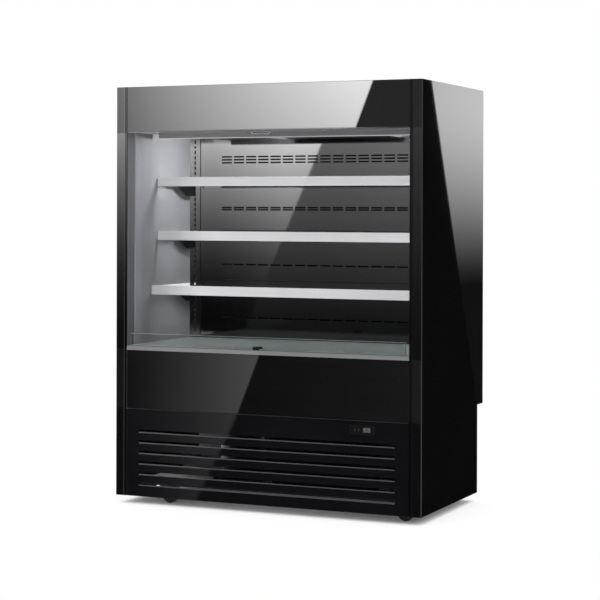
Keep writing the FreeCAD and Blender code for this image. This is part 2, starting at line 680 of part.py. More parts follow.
def inlet_grille():
    """The air inlet: a thick plate of long cells behind the riser, notched round the catch."""
    front = FRONT + CHANNEL_DEPTH + GAP
    back = FRONT + CHANNEL_DEPTH + INLET_DEPTH
    plate = block(-DECK_PAN_X, DECK_PAN_X, front, back, TUB_TOP, DECK_TOP)
    cell_x = (2 * DECK_PAN_X - 30) / INLET_COLUMNS
    cell_y = (INLET_DEPTH - 22) / INLET_ROWS
    half_x = (cell_x - INLET_WEB) / 2
    half_y = (cell_y - INLET_WEB) / 2
    cuts = []
    for x in row(INLET_COLUMNS, cell_x):
        for y in row(INLET_ROWS, cell_y, (front + back) / 2 + 4):
            cuts.append(block(x - half_x, x + half_x, y - half_y, y + half_y, TUB_TOP, DECK_TOP))
    half_notch = CATCH_WIDTH / 2 + GAP
    cuts.append(block(CATCH_X - half_notch, CATCH_X + half_notch, front, front + 8, TUB_TOP, DECK_TOP))
    return plate.cut(cuts)


def curtain_catch():
    """A hook screwed to the back of the channel: the curtain's handle goes behind and under its nose."""
    back = FRONT + CHANNEL_DEPTH
    top = CHANNEL_TOP + 13
    foot = CHANNEL_BOTTOM + 3
    wall = back + FRONT_PANEL_DEPTH - CHANNEL_DEPTH - GAP
    nose = back + 25
    tip = nose + 6
    outline = [
        (back, foot), (wall, foot), (wall, top - 5), (nose, top - 5), (nose, top - 9),
        (tip, top - 9), (tip, top - 2), (tip - 2, top), (back, top),
    ]
    return extrude_x(outline, CATCH_X - CATCH_WIDTH / 2, CATCH_X + CATCH_WIDTH / 2)


def deck_pan():
    """The lift-out floor of the display: a pan folded down all round."""
    back = DUCT_FACE - DECK_PLAY
    bottom = DECK_TOP - DECK_PAN_FLANGE
    pan = block(-DECK_PAN_X, DECK_PAN_X, DECK_PAN_FRONT, back, bottom, DECK_TOP)
    pan = pan.makeFillet(2.0, edges_on(pan, z=DECK_TOP))
    hollow = block(-DECK_PAN_X + THIN_SHEET, DECK_PAN_X - THIN_SHEET, DECK_PAN_FRONT + THIN_SHEET,
                   back - THIN_SHEET, bottom, DECK_TOP - THIN_SHEET)
    return pan.cut(hollow)


def build_deck():
    node("riser_channel", riser_channel())
    node("riser_glass", riser_glass())
    node("inlet_grille", inlet_grille())
    node("curtain_catch", curtain_catch())
    node("deck_pan", deck_pan())


# ---- display back wall -----------------------------------------------------------------
def duct_panel():
    """The sheet in front of the air duct, folded back at its sides and slotted in rows."""
    side = STANDARD_INNER - DUCT_SIDE_GAP
    inner = side - SHEET
    behind = DUCT_FACE + SHEET
    edge = DUCT_FACE + DUCT_RETURN
    outline = [
        (-side, DUCT_FACE), (side, DUCT_FACE), (side, edge), (inner, edge),
        (inner, behind), (-inner, behind), (-inner, edge), (-side, edge),
    ]
    panel = extrude_z(outline, DUCT_PANEL_FOOT, CEILING_TOP)
    rows = [DECK_TOP + rise for rise in AIR_ABOVE_DECK]
    for level, rises in zip(SHELF_HEIGHTS, AIR_ABOVE_SHELF):
        rows += [level + rise for rise in rises]
    pitch = AIR_SLOT_LENGTH + AIR_SLOT_GAP
    count = math.floor((2 * (STANDARD_INNER - AIR_SIDE_MARGIN) + AIR_SLOT_GAP) / pitch)
    half_x = AIR_SLOT_LENGTH / 2
    half_z = AIR_SLOT_HEIGHT / 2
    slots = []
    for z in rows:
        for x in row(count, pitch):
            slots.append(block(x - half_x, x + half_x, DUCT_FACE, behind, z - half_z, z + half_z))
    return panel.cut(slots)


def shelf_standard():
    """An upright channel in the back corner, slotted at an even pitch for the shelf hooks."""
    behind = DUCT_FACE + SHEET
    edge = DUCT_FACE + STANDARD_DEPTH
    near = STANDARD_INNER + SHEET
    far = X_INNER - SHEET
    outline = [
        (STANDARD_INNER, DUCT_FACE), (X_INNER, DUCT_FACE), (X_INNER, edge), (far, edge),
        (far, behind), (near, behind), (near, edge), (STANDARD_INNER, edge),
    ]
    standard = extrude_z(outline, DECK_TOP, CEILING_TOP)
    half = SLOT_HEIGHT / 2
    holes = []
    for number in range(SLOT_COUNT):
        z = TOP_SLOT - SLOT_PITCH * number
        if number == SCREW_SLOT:
            holes.append(cylinder(SCREW_HOLE_RADIUS, (SLOT_X, DUCT_FACE, z), (0, 1, 0), SHEET))
        else:
            holes.append(block(SLOT_X - SLOT_WIDTH / 2, SLOT_X + SLOT_WIDTH / 2, DUCT_FACE, behind,
                               z - half, z + half))
    return standard.cut(holes)


def build_back_wall():
    node("duct_panel", duct_panel())
    node("shelf_standards", shelf_standard(), mirrored(shelf_standard()))


# ---- shelves ---------------------------------------------------------------------------
def shelf_bracket(level, depth):
    """A tapered cantilever plate with a flange under the glass and two hooks in the standard."""
    top = level + RAIL_HEIGHT / 2 - RAIL_WALL - SHELF_GLASS - GAP
    heel = top - BRACKET_DEPTH
    back = DUCT_FACE - GAP
    front = DUCT_FACE - depth + RAIL_WALL + RAIL_LIP
    outline = [
        (back, top), (front, top), (front, top - BRACKET_NOSE),
        (DUCT_FACE - BRACKET_TAPER, top - BRACKET_NOSE * 1.9), (DUCT_FACE - BRACKET_HEEL, heel), (back, heel),
    ]
    x0 = SLOT_X - BRACKET_WALL / 2
    x1 = SLOT_X + BRACKET_WALL / 2
    pieces = [extrude_x(outline, x0, x1)]
    pieces.append(block(x0 - BRACKET_FLANGE, x1, front, back, top - BRACKET_WALL, top))
    behind = DUCT_FACE + SHEET + GAP
    tip = behind + HOOK_WALL
    for slot in (level - SHELF_ABOVE_SLOT, level - SHELF_ABOVE_SLOT + SLOT_PITCH):
        under = slot - SLOT_HEIGHT / 2 + GAP
        over = under + HOOK_HEIGHT
        hook = [
            (back, under), (behind, under), (behind, under - HOOK_DROP), (tip, under - HOOK_DROP),
            (tip, over - 2), (tip - 2, over), (back, over),
        ]
        pieces.append(extrude_x(hook, x0, x1))
    return join(*pieces)


def price_rail(level, depth):
    """A folded rail: a tall face with a pocket that grips the front edge of the glass."""
    front = DUCT_FACE - depth
    half = RAIL_HEIGHT / 2
    glass_top = level + half - RAIL_WALL + GAP / 2
    glass_bottom = glass_top - SHELF_GLASS - GAP
    inner = front + RAIL_WALL
    lip = inner + RAIL_LIP - GAP
    foot = level - half
    top = level + half + GAP
    outline = [
        (front, foot), (front, top), (lip, top), (lip, glass_top), (inner, glass_top),
        (inner, glass_bottom), (lip, glass_bottom), (lip, glass_bottom - RAIL_WALL),
        (inner, glass_bottom - RAIL_WALL), (inner, foot + RAIL_WALL),
        (inner + RAIL_LIP / 2, foot + RAIL_WALL), (inner + RAIL_LIP / 2, foot),
    ]
    return extrude_x(outline, -SHELF_LENGTH / 2, SHELF_LENGTH / 2)


def shelf_glass(level, depth):
    top = level + RAIL_HEIGHT / 2 - RAIL_WALL
    pane = block(-SHELF_LENGTH / 2 + 5, SHELF_LENGTH / 2 - 5, DUCT_FACE - depth + RAIL_WALL + GAP,
                 DUCT_FACE - 4, top - SHELF_GLASS, top)
    return pane.makeFillet(1.0, edges_on(pane, y=DUCT_FACE - 4))


def build_shelves():
    for index, (level, depth) in enumerate(zip(SHELF_HEIGHTS, SHELF_DEPTHS), 1):
        bracket = shelf_bracket(level, depth)
        node(f"shelf_glass_{index}", shelf_glass(level, depth))
        node(f"shelf_brackets_{index}", bracket, mirrored(bracket))
        node(f"price_rail_{index}", price_rail(level, depth))


# ---- night curtain ---------------------------------------------------------------------
def curtain_roller():
    """The spring roller: the wound sheet between bare tube ends, and a pin at each end."""
    wound = CURTAIN_LENGTH / 2
    end = X_INNER - BOSS_LENGTH - GAP
    pin = end + ROLLER_PIN_LENGTH
    profile = [
        (0, -pin), (ROLLER_PIN, -pin), (ROLLER_PIN, -end), (ROLLER_TUBE, -end), (ROLLER_TUBE, -wound),
        (ROLLER_WOUND, -wound), (ROLLER_WOUND, wound), (ROLLER_TUBE, wound), (ROLLER_TUBE, end),
        (ROLLER_PIN, end), (ROLLER_PIN, pin), (0, pin),
    ]
    return turned(profile, (0, ROLLER_Y, ROLLER_HEIGHT), (1, 0, 0))


def pull_handle():
    """A U of wire that hangs from the weight bar."""
    half = HANDLE_WIDTH / 2 - HANDLE_WIRE
    low = BAR_HEIGHT - HANDLE_DROP
    high = BAR_HEIGHT - BAR_RADIUS + 1
    route = [(CATCH_X - half, CURTAIN_Y, high), (CATCH_X - half, CURTAIN_Y, low),
             (CATCH_X + half, CURTAIN_Y, low), (CATCH_X + half, CURTAIN_Y, high)]
    return pipe(route, HANDLE_WIRE, 6.0)


def build_curtain():
    node("curtain_roller", curtain_roller())
    node("curtain_sheet", block(-CURTAIN_LENGTH / 2, CURTAIN_LENGTH / 2, CURTAIN_Y - GAP - CURTAIN_SHEET,
                                CURTAIN_Y - GAP, BAR_HEIGHT + BAR_RADIUS, ROLLER_HEIGHT))
    length = CURTAIN_LENGTH + 4
    node("curtain_bar", cylinder(BAR_RADIUS, (-length / 2, CURTAIN_Y, BAR_HEIGHT), (1, 0, 0), length))
    node("pull_handle", pull_handle())


# ---- grille panel and controller -------------------------------------------------------
def grille_panel():
    """The louvred panel: a folded pan notched for the pegs, a lipped baffle under each opening."""
    face = GRILLE_FACE
    back = GRILLE_BACK
    side = X_INNER - GRILLE_SIDE_PLAY
    pan = block(-side, side, face, back, FLOOR_GAP, GRILLE_TOP)
    hollow = block(-side + SHEET, side - SHEET, face + SHEET, back, FLOOR_GAP + SHEET, GRILLE_TOP - SHEET)
    openings = []
    blades = []
    half = LOUVRE_LENGTH / 2
    lip = LOUVRE_LIP / 2
    tail = face + GRILLE_DEPTH * 0.7
    for index in range(math.floor(LOUVRE_SPACE / LOUVRE_PITCH) + 1):
        z = LOUVRE_FIRST + LOUVRE_PITCH * index
        openings.append(block(-half, half, face, face + SHEET, z + lip, z + lip + LOUVRE_OPENING))
        outline = [
            (face + SHEET, z - lip), (FRONT + 1, z - lip), (FRONT, z - lip + 1), (FRONT, z + lip - 1),
            (FRONT + 1, z + lip), (face + SHEET, z + lip), (tail, z - lip * 4), (tail - 2, z - lip * 4 - 1),
        ]
        blades.append(extrude_x(outline, -half, half))
    cut_x = CONTROLLER_BODY_WIDTH / 2 + GAP
    cut_z = CONTROLLER_BODY_HEIGHT / 2 + GAP
    openings.append(block(CONTROLLER_X - cut_x, CONTROLLER_X + cut_x, face, face + SHEET,
                          CONTROLLER_Z - cut_z, CONTROLLER_Z + cut_z))
    reach = PEG_RADIUS + GAP
    notches = [block(-side, side, PEG_Y - reach, back, z - reach, z + reach) for z in PEG_HEIGHTS]
    return join(pan.cut([hollow] + openings + notches), *blades)


def upright_plate(x, width, y0, y1, height):
    """A block about the controller's level."""
    return block(x - width / 2, x + width / 2, y0, y1, CONTROLLER_Z - height / 2, CONTROLLER_Z + height / 2)


def key_places():
    return [(CONTROLLER_X + offset, CONTROLLER_Z) for offset in KEY_OFFSETS]


def controller():
    """A panel instrument: a thin bezel on the panel's face and a box behind, with two key pockets."""
    face = GRILLE_FACE
    front = face - CONTROLLER_BEZEL
    bezel = upright_plate(CONTROLLER_X, CONTROLLER_WIDTH, front, face, CONTROLLER_HEIGHT)
    bezel = bezel.makeChamfer(0.8, edges_on(bezel, y=front))
    body = upright_plate(CONTROLLER_X, CONTROLLER_BODY_WIDTH, face, face + CONTROLLER_BODY_DEPTH,
                         CONTROLLER_BODY_HEIGHT)
    cuts = [cylinder(KEY_RADIUS + GAP, (x, front, z), (0, 1, 0), KEY_POCKET) for x, z in key_places()]
    cuts.append(upright_plate(CONTROLLER_X + DISPLAY_OFFSET, DISPLAY_WIDTH, front, front + DISPLAY_RECESS,
                              DISPLAY_HEIGHT))
    return join(bezel, body).cut(cuts)


def key_cap(x, z):
    front = GRILLE_FACE - CONTROLLER_BEZEL - KEY_PROUD
    cap = cylinder(KEY_RADIUS, (x, front, z), (0, 1, 0), KEY_LENGTH)
    return cap.makeChamfer(0.4, [edge for edge in cap.Edges if abs(edge.BoundBox.YMax - front) < 0.01])


def build_grille():
    node("grille_panel", grille_panel())
    node("controller", controller())
    for name, (x, z) in zip(("key_up", "key_down"), key_places()):
        node(name, key_cap(x, z))


# ---- condensing unit -------------------------------------------------------------------
def compressor():
    """A hermetic compressor: a domed shell with a weld seam, on a foot plate with rubber mounts."""
    r = COMPRESSOR_RADIUS
    h = COMPRESSOR_HEIGHT
    foot = COMPRESSOR_FOOT
    seam = h / 2
    shell = [
        (0, foot), (r * 0.7, foot), (r * 0.95, foot + h * 0.08), (r, foot + h * 0.2), (r, seam),
        (r + 4, seam), (r + 4, seam + 6), (r, seam + 6), (r, h * 0.72), (r * 0.86, h * 0.88),
        (r * 0.55, h * 0.97), (0, h),
    ]
    centre = (COMPRESSOR_X, FRONT + COMPRESSOR_FROM_FRONT, BASE_PAN_HEIGHT)
    x, y, z = centre
    half_x = COMPRESSOR_FOOT_LENGTH / 2
    half_y = COMPRESSOR_FOOT_DEPTH / 2
    pieces = [turned(shell, centre, (0, 0, 1))]
    pieces.append(block(x - half_x, x + half_x, y - half_y, y + half_y, z + foot - 4, z + foot))
    for dx in (15 - half_x, half_x - 15):
        for dy in (15 - half_y, half_y - 15):
            pieces.append(cylinder(11, (x + dx, y + dy, z), (0, 0, 1), foot + 7))
    half_box = TERMINAL_BOX_WIDTH / 2
    pieces.append(block(x + r - 12, x + r + 26, y - half_box, y + half_box,
                        z + seam - TERMINAL_BOX_HEIGHT / 2, z + seam + TERMINAL_BOX_HEIGHT / 2))
    return join(*pieces)


def condenser_coil():
    """Upright fins between two end plates that stand on the base pan."""
    x0 = COIL_X - COIL_WIDTH / 2
    x1 = COIL_X + COIL_WIDTH / 2
    y0 = FRONT + COIL_FROM_FRONT
    y1 = y0 + COIL_DEPTH
    top = BASE_PAN_HEIGHT + COIL_HEIGHT
    core = finned_block(x0, x1, y0, y1, BASE_PAN_HEIGHT + 6, top, COIL_FIN_COUNT, 6.0)
    plates = [block(x - SHEET, x + SHEET, y0, y1, BASE_PAN_HEIGHT, top) for x in (x0, x1)]
    return join(core, *plates)


def fan_shroud():
    """A plate with a round collar behind the coil, and the motor on a strap across it."""
    x0 = COIL_X - COIL_WIDTH / 2
    x1 = COIL_X + COIL_WIDTH / 2
    y = FRONT + COIL_FROM_FRONT + COIL_DEPTH
    z0 = BASE_PAN_HEIGHT
    z1 = BASE_PAN_HEIGHT + COIL_HEIGHT
    opening = CONDENSER_FAN_RADIUS + 6
    middle = condenser_fan_centre()
    plate = block(x0, x1, y, y + SHEET, z0, z1)
    collar = tube(opening + SHEET, opening, (middle[0], y, middle[2]), (0, 1, 0), 26)
    strap_y = y + 62
    near = COIL_X - 14
    far = COIL_X + 14
    strap = block(near, far, strap_y, strap_y + BASE_PAN_WALL, z0, z1)
    legs = [block(near, far, y, strap_y, z, z + BASE_PAN_WALL) for z in (z0, z1 - BASE_PAN_WALL)]
    motor = cylinder(44, (middle[0], strap_y, middle[2]), (0, 1, 0), 58)
    hole = cylinder(opening, (middle[0], y, middle[2]), (0, 1, 0), SHEET)
    bore = cylinder(KINGPIN_RADIUS + RUNNING_FIT, (middle[0], strap_y, middle[2]), (0, 1, 0), 30)
    return join(plate.cut(hole), collar, strap, motor, *legs).cut(bore)


def condenser_fan_centre():
    return COIL_X, FRONT + COIL_FROM_FRONT + COIL_DEPTH + 22, BASE_PAN_HEIGHT + COIL_HEIGHT / 2


def condensate_pan():
    """A tray with sloped walls under the drain."""
    x = DRAIN_X
    y = FRONT + DRAIN_FROM_FRONT
    flare = 6.0

    def tray(inset, bottom):
        wires = []
        for z, grow in ((bottom, -flare), (BASE_PAN_HEIGHT + PAN_HEIGHT, 0.0)):
            half_x = PAN_LENGTH / 2 - inset + grow
            half_y = PAN_DEPTH / 2 - inset + grow
            corners = ((x - half_x, y - half_y), (x + half_x, y - half_y),
                       (x + half_x, y + half_y), (x - half_x, y + half_y))
            points = [Vector(across, along, z) for across, along in corners]
            wires.append(Part.makePolygon(points + points[:1]))
        return Part.makeLoft(wires, True, True)

    return tray(0.0, BASE_PAN_HEIGHT).cut(tray(SHEET, BASE_PAN_HEIGHT + SHEET))


def evaporator_coil():
    x0 = EVAPORATOR_LEFT
    x1 = EVAPORATOR_RIGHT
    y0 = FRONT + EVAPORATOR_FROM_FRONT
    y1 = y0 + EVAPORATOR_DEPTH
    top = TUB_FLOOR + EVAPORATOR_HEIGHT
    core = finned_block(x0, x1, y0, y1, TUB_FLOOR + 8, top, EVAPORATOR_FIN_COUNT, 8.0)
    plates = [block(x - SHEET, x + SHEET, y0, y1, TUB_FLOOR, top + 6) for x in (x0, x1)]
    return join(core, *plates)


def evaporator_fan_centres():
    y = FRONT + FAN_PLATE_FROM_FRONT
    return [(x, y, EVAPORATOR_FAN_Z) for x in (-EVAPORATOR_FAN_X, EVAPORATOR_FAN_X)]


def evaporator_fan_plate():
    """The wall across the tub that carries the two fan collars and their motors on straps."""
    y = FRONT + FAN_PLATE_FROM_FRONT
    top = DECK_TOP - DECK_PAN_FLANGE - 2
    side = X_INNER - LEDGE_WIDTH - 1
    opening = EVAPORATOR_FAN_RADIUS + 4
    plate = block(-side, side, y, y + SHEET, TUB_FLOOR, top)
    holes = []
    pieces = []
    bores = []
    strap_y = y + 34
    for x, _, z in evaporator_fan_centres():
        holes.append(cylinder(opening, (x, y, z), (0, 1, 0), SHEET))
        pieces.append(tube(opening + SHEET, opening, (x, y, z), (0, 1, 0), 16))
        pieces.append(block(x - opening - 6, x + opening + 6, strap_y, strap_y + SHEET, z - 9, z + 9))
        for leg in (x - opening - 6, x + opening + 4):
            pieces.append(block(leg, leg + SHEET, y, strap_y, z - 9, z + 9))
        pieces.append(cylinder(30, (x, strap_y, z), (0, 1, 0), 42))
        bores.append(cylinder(AXLE_RADIUS + RUNNING_FIT, (x, strap_y, z), (0, 1, 0), 20))
    return join(plate.cut(holes), *pieces).cut(bores)


def refrigerant_lines():
    """Suction, discharge and liquid lines, each bent with one former."""
    y_rise = FRONT + LINE_HOLE_FROM_FRONT
    x_comp = COMPRESSOR_X
    y_comp = FRONT + COMPRESSOR_FROM_FRONT
    z_top = BASE_PAN_HEIGHT + COMPRESSOR_HEIGHT
    coil_right = EVAPORATOR_RIGHT + SHEET
    coil_y = FRONT + EVAPORATOR_FROM_FRONT + EVAPORATOR_DEPTH / 2
    condenser_y = FRONT + COIL_FROM_FRONT + COIL_DEPTH / 2
    condenser_half = COIL_WIDTH / 2 + SHEET
    x_suction = LINE_HOLE_X + 8
    y_suction = coil_y + 20
    suction = [
        (coil_right, y_suction, TUB_FLOOR + 80), (x_suction, y_suction, TUB_FLOOR + 80),
        (x_suction, y_rise, TUB_FLOOR + 60), (x_suction, y_rise, z_top - 40),
        (x_comp + 40, y_rise, z_top - 40), (x_comp + 40, y_comp + COMPRESSOR_RADIUS - 20, z_top - 40),
    ]
    x_liquid = LINE_HOLE_X - 10
    y_liquid = coil_y - 20
    z_liquid = BASE_PAN_HEIGHT + 60
    liquid = [
        (coil_right, y_liquid, TUB_FLOOR + 40), (x_liquid, y_liquid, TUB_FLOOR + 40),
        (x_liquid, y_rise, TUB_FLOOR + 20), (x_liquid, y_rise, z_liquid),
        (x_liquid, condenser_y, z_liquid), (COIL_X + condenser_half, condenser_y, z_liquid),
    ]
    z_discharge = COIL_TOP - DISCHARGE_BELOW_COIL
    discharge = [
        (x_comp, y_comp, z_top - 8), (x_comp, y_comp, z_discharge),
        (x_comp, condenser_y, z_discharge), (COIL_X - condenser_half, condenser_y, z_discharge),
    ]
    return [
        pipe(suction, SUCTION_RADIUS, 22.0), pipe(liquid, LIQUID_RADIUS, 16.0),
        pipe(discharge, LIQUID_RADIUS, 16.0),
    ]


def build_refrigeration():
    node("compressor", compressor())
    node("condenser_coil", condenser_coil())
    node("fan_shroud", fan_shroud())
    fan = axial_fan(condenser_fan_centre(), CONDENSER_FAN_RADIUS, 32.0, 36.0, 5, KINGPIN_RADIUS, 36.0)
    node("condenser_fan", fan)
    node("condensate_pan", condensate_pan())
    node("evaporator_coil", evaporator_coil())
    node("evaporator_fan_plate", evaporator_fan_plate())
    for name, centre in zip(("left", "right"), evaporator_fan_centres()):
        fan = axial_fan(centre, EVAPORATOR_FAN_RADIUS, 22.0, 24.0, 5, AXLE_RADIUS, 38.0)
        node(f"evaporator_fan_{name}", fan)
    node("refrigerant_lines", *refrigerant_lines())


# ---- casters ---------------------------------------------------------------------------
def caster_places():
    return [(x, y) for y in (FRONT + CASTER_INSET, BASE_BACK - CASTER_INSET) for x in CASTER_XS]


def caster_fork(x, y, braked):
    """A swivel head with its kingpin, and two legs that hold the axle and a brake pedal's pin."""
    top = CASTER_PLATE_BOTTOM - GAP
    head_bottom = top - 5
    axle_x = x + CASTER_TRAIL
    inner = WHEEL_WIDTH / 2 + GAP
    pieces = [cylinder(24, (x, y, head_bottom), (0, 0, 1), 5)]
    pieces.append(Part.makeCone(15, 21, 4, Vector(x, y, head_bottom - 4)))
    pieces.append(cylinder(KINGPIN_RADIUS, (x, y, top), (0, 0, 1), CASTER_PLATE + BASE_PAN_WALL - 1))
    low = WHEEL_RADIUS - 8
    leg = [
        (x - 17, head_bottom + 2), (x - 17, head_bottom - 4), (axle_x - 9, WHEEL_RADIUS),
        (axle_x - 6, low), (axle_x + 6, low), (axle_x + 9, WHEEL_RADIUS),
        (axle_x + 26, head_bottom - 8), (axle_x + 26, head_bottom + 2),
    ]
    for side in (inner, -inner - FORK_WALL):
        pieces.append(extrude_y(leg, y + side, y + side + FORK_WALL))
    span = 2 * (inner + FORK_WALL)
    pieces.append(cylinder(AXLE_RADIUS, (axle_x, y - span / 2 - 2, WHEEL_RADIUS), (0, 1, 0), span + 4))
    if braked:
        pin_x, pin_z = pedal_pin(x)
        pieces.append(cylinder(PEDAL_PIN_RADIUS, (pin_x, y - span / 2, pin_z), (0, 1, 0), span))
    return join(*pieces)


def pedal_pin(x):
    return x + CASTER_TRAIL + 20.0, CASTER_PLATE_BOTTOM - GAP - 9.0


def brake_pedal(x, y):
    """A flat lever on its pin between the legs, pressed down towards the tread."""
    pin_x, pin_z = pedal_pin(x)
    half = WHEEL_WIDTH / 2 - 1
    start = (pin_x, y - half, pin_z)
    lever = [
        (pin_x, pin_z), (pin_x + 3, pin_z - 3), (pin_x + 20, pin_z + 1),
        (pin_x + 22, pin_z + 4), (pin_x, pin_z + 5),
    ]
    pedal = join(extrude_y(lever, y - half, y + half), cylinder(5, start, (0, 1, 0), 2 * half))
    return pedal.cut(cylinder(PEDAL_PIN_RADIUS + RUNNING_FIT, start, (0, 1, 0), 2 * half))


def caster_wheel(x, y):
    """Hub, web and a round-shouldered tread, turned about the axle."""
    r = WHEEL_RADIUS
    w = WHEEL_WIDTH / 2
    bore = AXLE_RADIUS + RUNNING_FIT
    half = [
        (bore, w), (r * 0.4, w), (r * 0.4, w * 0.6), (r * 0.72, w * 0.6), (r * 0.75, w * 0.9),
        (r * 0.93, w * 0.9), (r, w * 0.6),
    ]
    profile = [(radius, -along) for radius, along in half] + half[::-1]
    return turned(profile, (x + CASTER_TRAIL, y, WHEEL_RADIUS), (0, 1, 0))


def build_casters():
    names = ("front_left", "front_right", "rear_left", "rear_right")
    for name, (x, y) in zip(names, caster_places()):
        braked = name.startswith("front")
        node(f"caster_fork_{name}", caster_fork(x, y, braked))
        node(f"caster_wheel_{name}", caster_wheel(x, y))
        if braked:
            node(f"brake_pedal_{name}", brake_pedal(x, y))


# ---- build and write -------------------------------------------------------------------
build_shell()
build_canopy()
build_deck()
build_back_wall()
build_shelves()
build_curtain()
build_grille()
build_refrigeration()
build_casters()

os.makedirs("parts", exist_ok=True)
for name, shape in NODES.items():
    if not shape.isValid():
        print("not valid:", name)
    shape.exportStep(f"parts/{name}.step")
print(len(NODES), "nodes written")
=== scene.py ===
# %% [markdown]
# # A refrigerated display case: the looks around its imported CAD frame
# The CAD part gives every rigid piece its true shape and place, so this script adds what the CAD
# leaves out: the surfaces' finishes, fasteners, seals, the controller's face, the hanging curtain,
# the lamp's lights and a small studio. All lengths are metres, in the part's own frame: +X to the
# right of somebody facing the case, +Y to its back, +Z up from the floor.

import math

import bpy
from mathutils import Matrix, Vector


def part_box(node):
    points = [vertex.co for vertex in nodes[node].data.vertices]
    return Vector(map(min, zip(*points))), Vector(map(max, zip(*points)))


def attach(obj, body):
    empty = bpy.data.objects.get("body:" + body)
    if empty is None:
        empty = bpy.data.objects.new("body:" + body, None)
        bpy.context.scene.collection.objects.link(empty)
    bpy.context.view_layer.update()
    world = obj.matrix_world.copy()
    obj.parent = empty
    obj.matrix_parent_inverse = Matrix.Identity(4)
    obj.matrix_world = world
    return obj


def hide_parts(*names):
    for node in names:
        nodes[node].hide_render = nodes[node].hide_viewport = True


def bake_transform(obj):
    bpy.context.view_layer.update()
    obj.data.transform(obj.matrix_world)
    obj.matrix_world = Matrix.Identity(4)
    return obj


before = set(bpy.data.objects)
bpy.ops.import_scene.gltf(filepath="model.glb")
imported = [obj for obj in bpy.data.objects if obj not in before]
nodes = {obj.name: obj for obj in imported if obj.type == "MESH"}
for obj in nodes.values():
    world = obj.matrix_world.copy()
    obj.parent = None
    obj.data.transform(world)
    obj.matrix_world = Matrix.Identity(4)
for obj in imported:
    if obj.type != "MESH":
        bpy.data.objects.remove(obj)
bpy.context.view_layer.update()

# %% [markdown]
# The frame tells where things are. Typing the same lengths again would leave two places to change,
# so `low` and `high` read the corners of a node's box, and whatever is added here follows the CAD.


# %% Places read from the frame
def low(node):
    return Vector(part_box(node)[0])


def high(node):
    return Vector(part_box(node)[1])


def middle(node):
    return (low(node) + high(node)) / 2


FRONT = low("front_panel").y
BACK = high("rear_wall").y
TOP = high("roof_panel").z
X_OUTER = high("end_panel_right").x
CEILING = high("lamp_housing").z
DUCT_FACE = low("duct_panel").y
print("front", round(FRONT, 4), "back", round(BACK, 4), "ceiling", round(CEILING, 4))

# %% [markdown]
# ## Shader maths
# A material is a small sum over the surface, and a long chain of nodes hides that sum. `Sock` wraps
# a node's output, and its operators add the maths nodes: a + b, 1 - a and so on. Colours are mixed
# with a Mix node and vectors use a Vector Math node, because a Math node would turn a colour grey.
# Every node comes from `make`, which does the node's settings first and then its inputs.


# %% The socket class
class Sock:
    """A node output that can be added, multiplied and compared like a number."""

    def __init__(self, tree, socket):
        self.tree = tree
        self.socket = socket

    def _maths(self, operation, *values):
        return make(self.tree, "ShaderNodeMath", dict(enumerate(values)), operation=operation)

    def __add__(self, other):
        return self._maths("ADD", self, other)

    __radd__ = __add__

    def __sub__(self, other):
        return self._maths("SUBTRACT", self, other)

    def __rsub__(self, other):
        return self._maths("SUBTRACT", other, self)

    def __mul__(self, other):
        return self._maths("MULTIPLY", self, other)

    __rmul__ = __mul__

    def __truediv__(self, other):
        return self._maths("DIVIDE", self, other)

    def __rtruediv__(self, other):
        return self._maths("DIVIDE", other, self)

    def __pow__(self, other):
        return self._maths("POWER", self, other)

    def __rpow__(self, other):
        return self._maths("POWER", other, self)

    def __gt__(self, other):
        return self._maths("GREATER_THAN", self, other)

    def __lt__(self, other):
        return self._maths("LESS_THAN", self, other)

    def fraction(self):
        return self._maths("FRACT", self)

    def size(self):
        return self._maths("ABSOLUTE", self)

    def ramp(self, start, end, first=0.0, last=1.0):
        """A clamped straight line from first at start to last at end."""
        fields = {"Value": self, "From Min": start, "From Max": end, "To Min": first, "To Max": last}
        return make(self.tree, "ShaderNodeMapRange", fields, clamp=True)

    def drift(self, value, down, up):
        """A value that wanders with this noise, from down to up times itself."""
        return self.ramp(0.3, 0.7, value * down, value * up)

    def colour(self, dark, light):
        """This number, from 0 to 1, as a mix from one colour to the other."""
        return make(self.tree, "ShaderNodeMix", {0: self, 6: dark, 7: light}, 2, data_type="RGBA")

    def scaled(self, amounts):
        """A vector with each part multiplied."""
        return make(self.tree, "ShaderNodeVectorMath", {0: self, 1: amounts}, operation="MULTIPLY")

    def parts(self):
        """The three parts of a vector."""
        first = make(self.tree, "ShaderNodeSeparateXYZ", {0: self})
        return [Sock(self.tree, output) for output in first.socket.node.outputs]


def plug(tree, value, target):
    """Link a Sock, or set a number or a colour."""
    if isinstance(value, Sock):
        tree.links.new(value.socket, target)
    elif target.type == "RGBA" and len(value) == 3:
        target.default_value = (*value, 1.0)
    else:
        target.default_value = value


def make(tree, kind, fields=(), output=0, **settings):
    """Any node: its settings first, then its inputs by name or number."""
    new = tree.nodes.new(kind)
    for name, value in settings.items():
        setattr(new, name, value)
    for name, value in dict(fields).items():
        plug(tree, value, new.inputs[name])
    return Sock(tree, new.outputs[output]) if new.outputs else None


print("Sock and make ready")

# %% [markdown]
# No real surface is even, so each finish starts from noise over the object's own place, which keeps
# its size in metres whatever the piece. A pressed or moulded edge is never razor sharp either. The
# Bevel node rounds the shading of the edges, which is cheaper than bevelling each CAD mesh.


# %% Patterns and relief
def place(tree):
    """Position on the object, in metres."""
    return make(tree, "ShaderNodeTexCoord", output="Object")


def noise(tree, vector, scale, detail=3.0, roughness=0.5):
    fields = {"Vector": vector, "Scale": scale, "Detail": detail, "Roughness": roughness}
    return make(tree, "ShaderNodeTexNoise", fields)


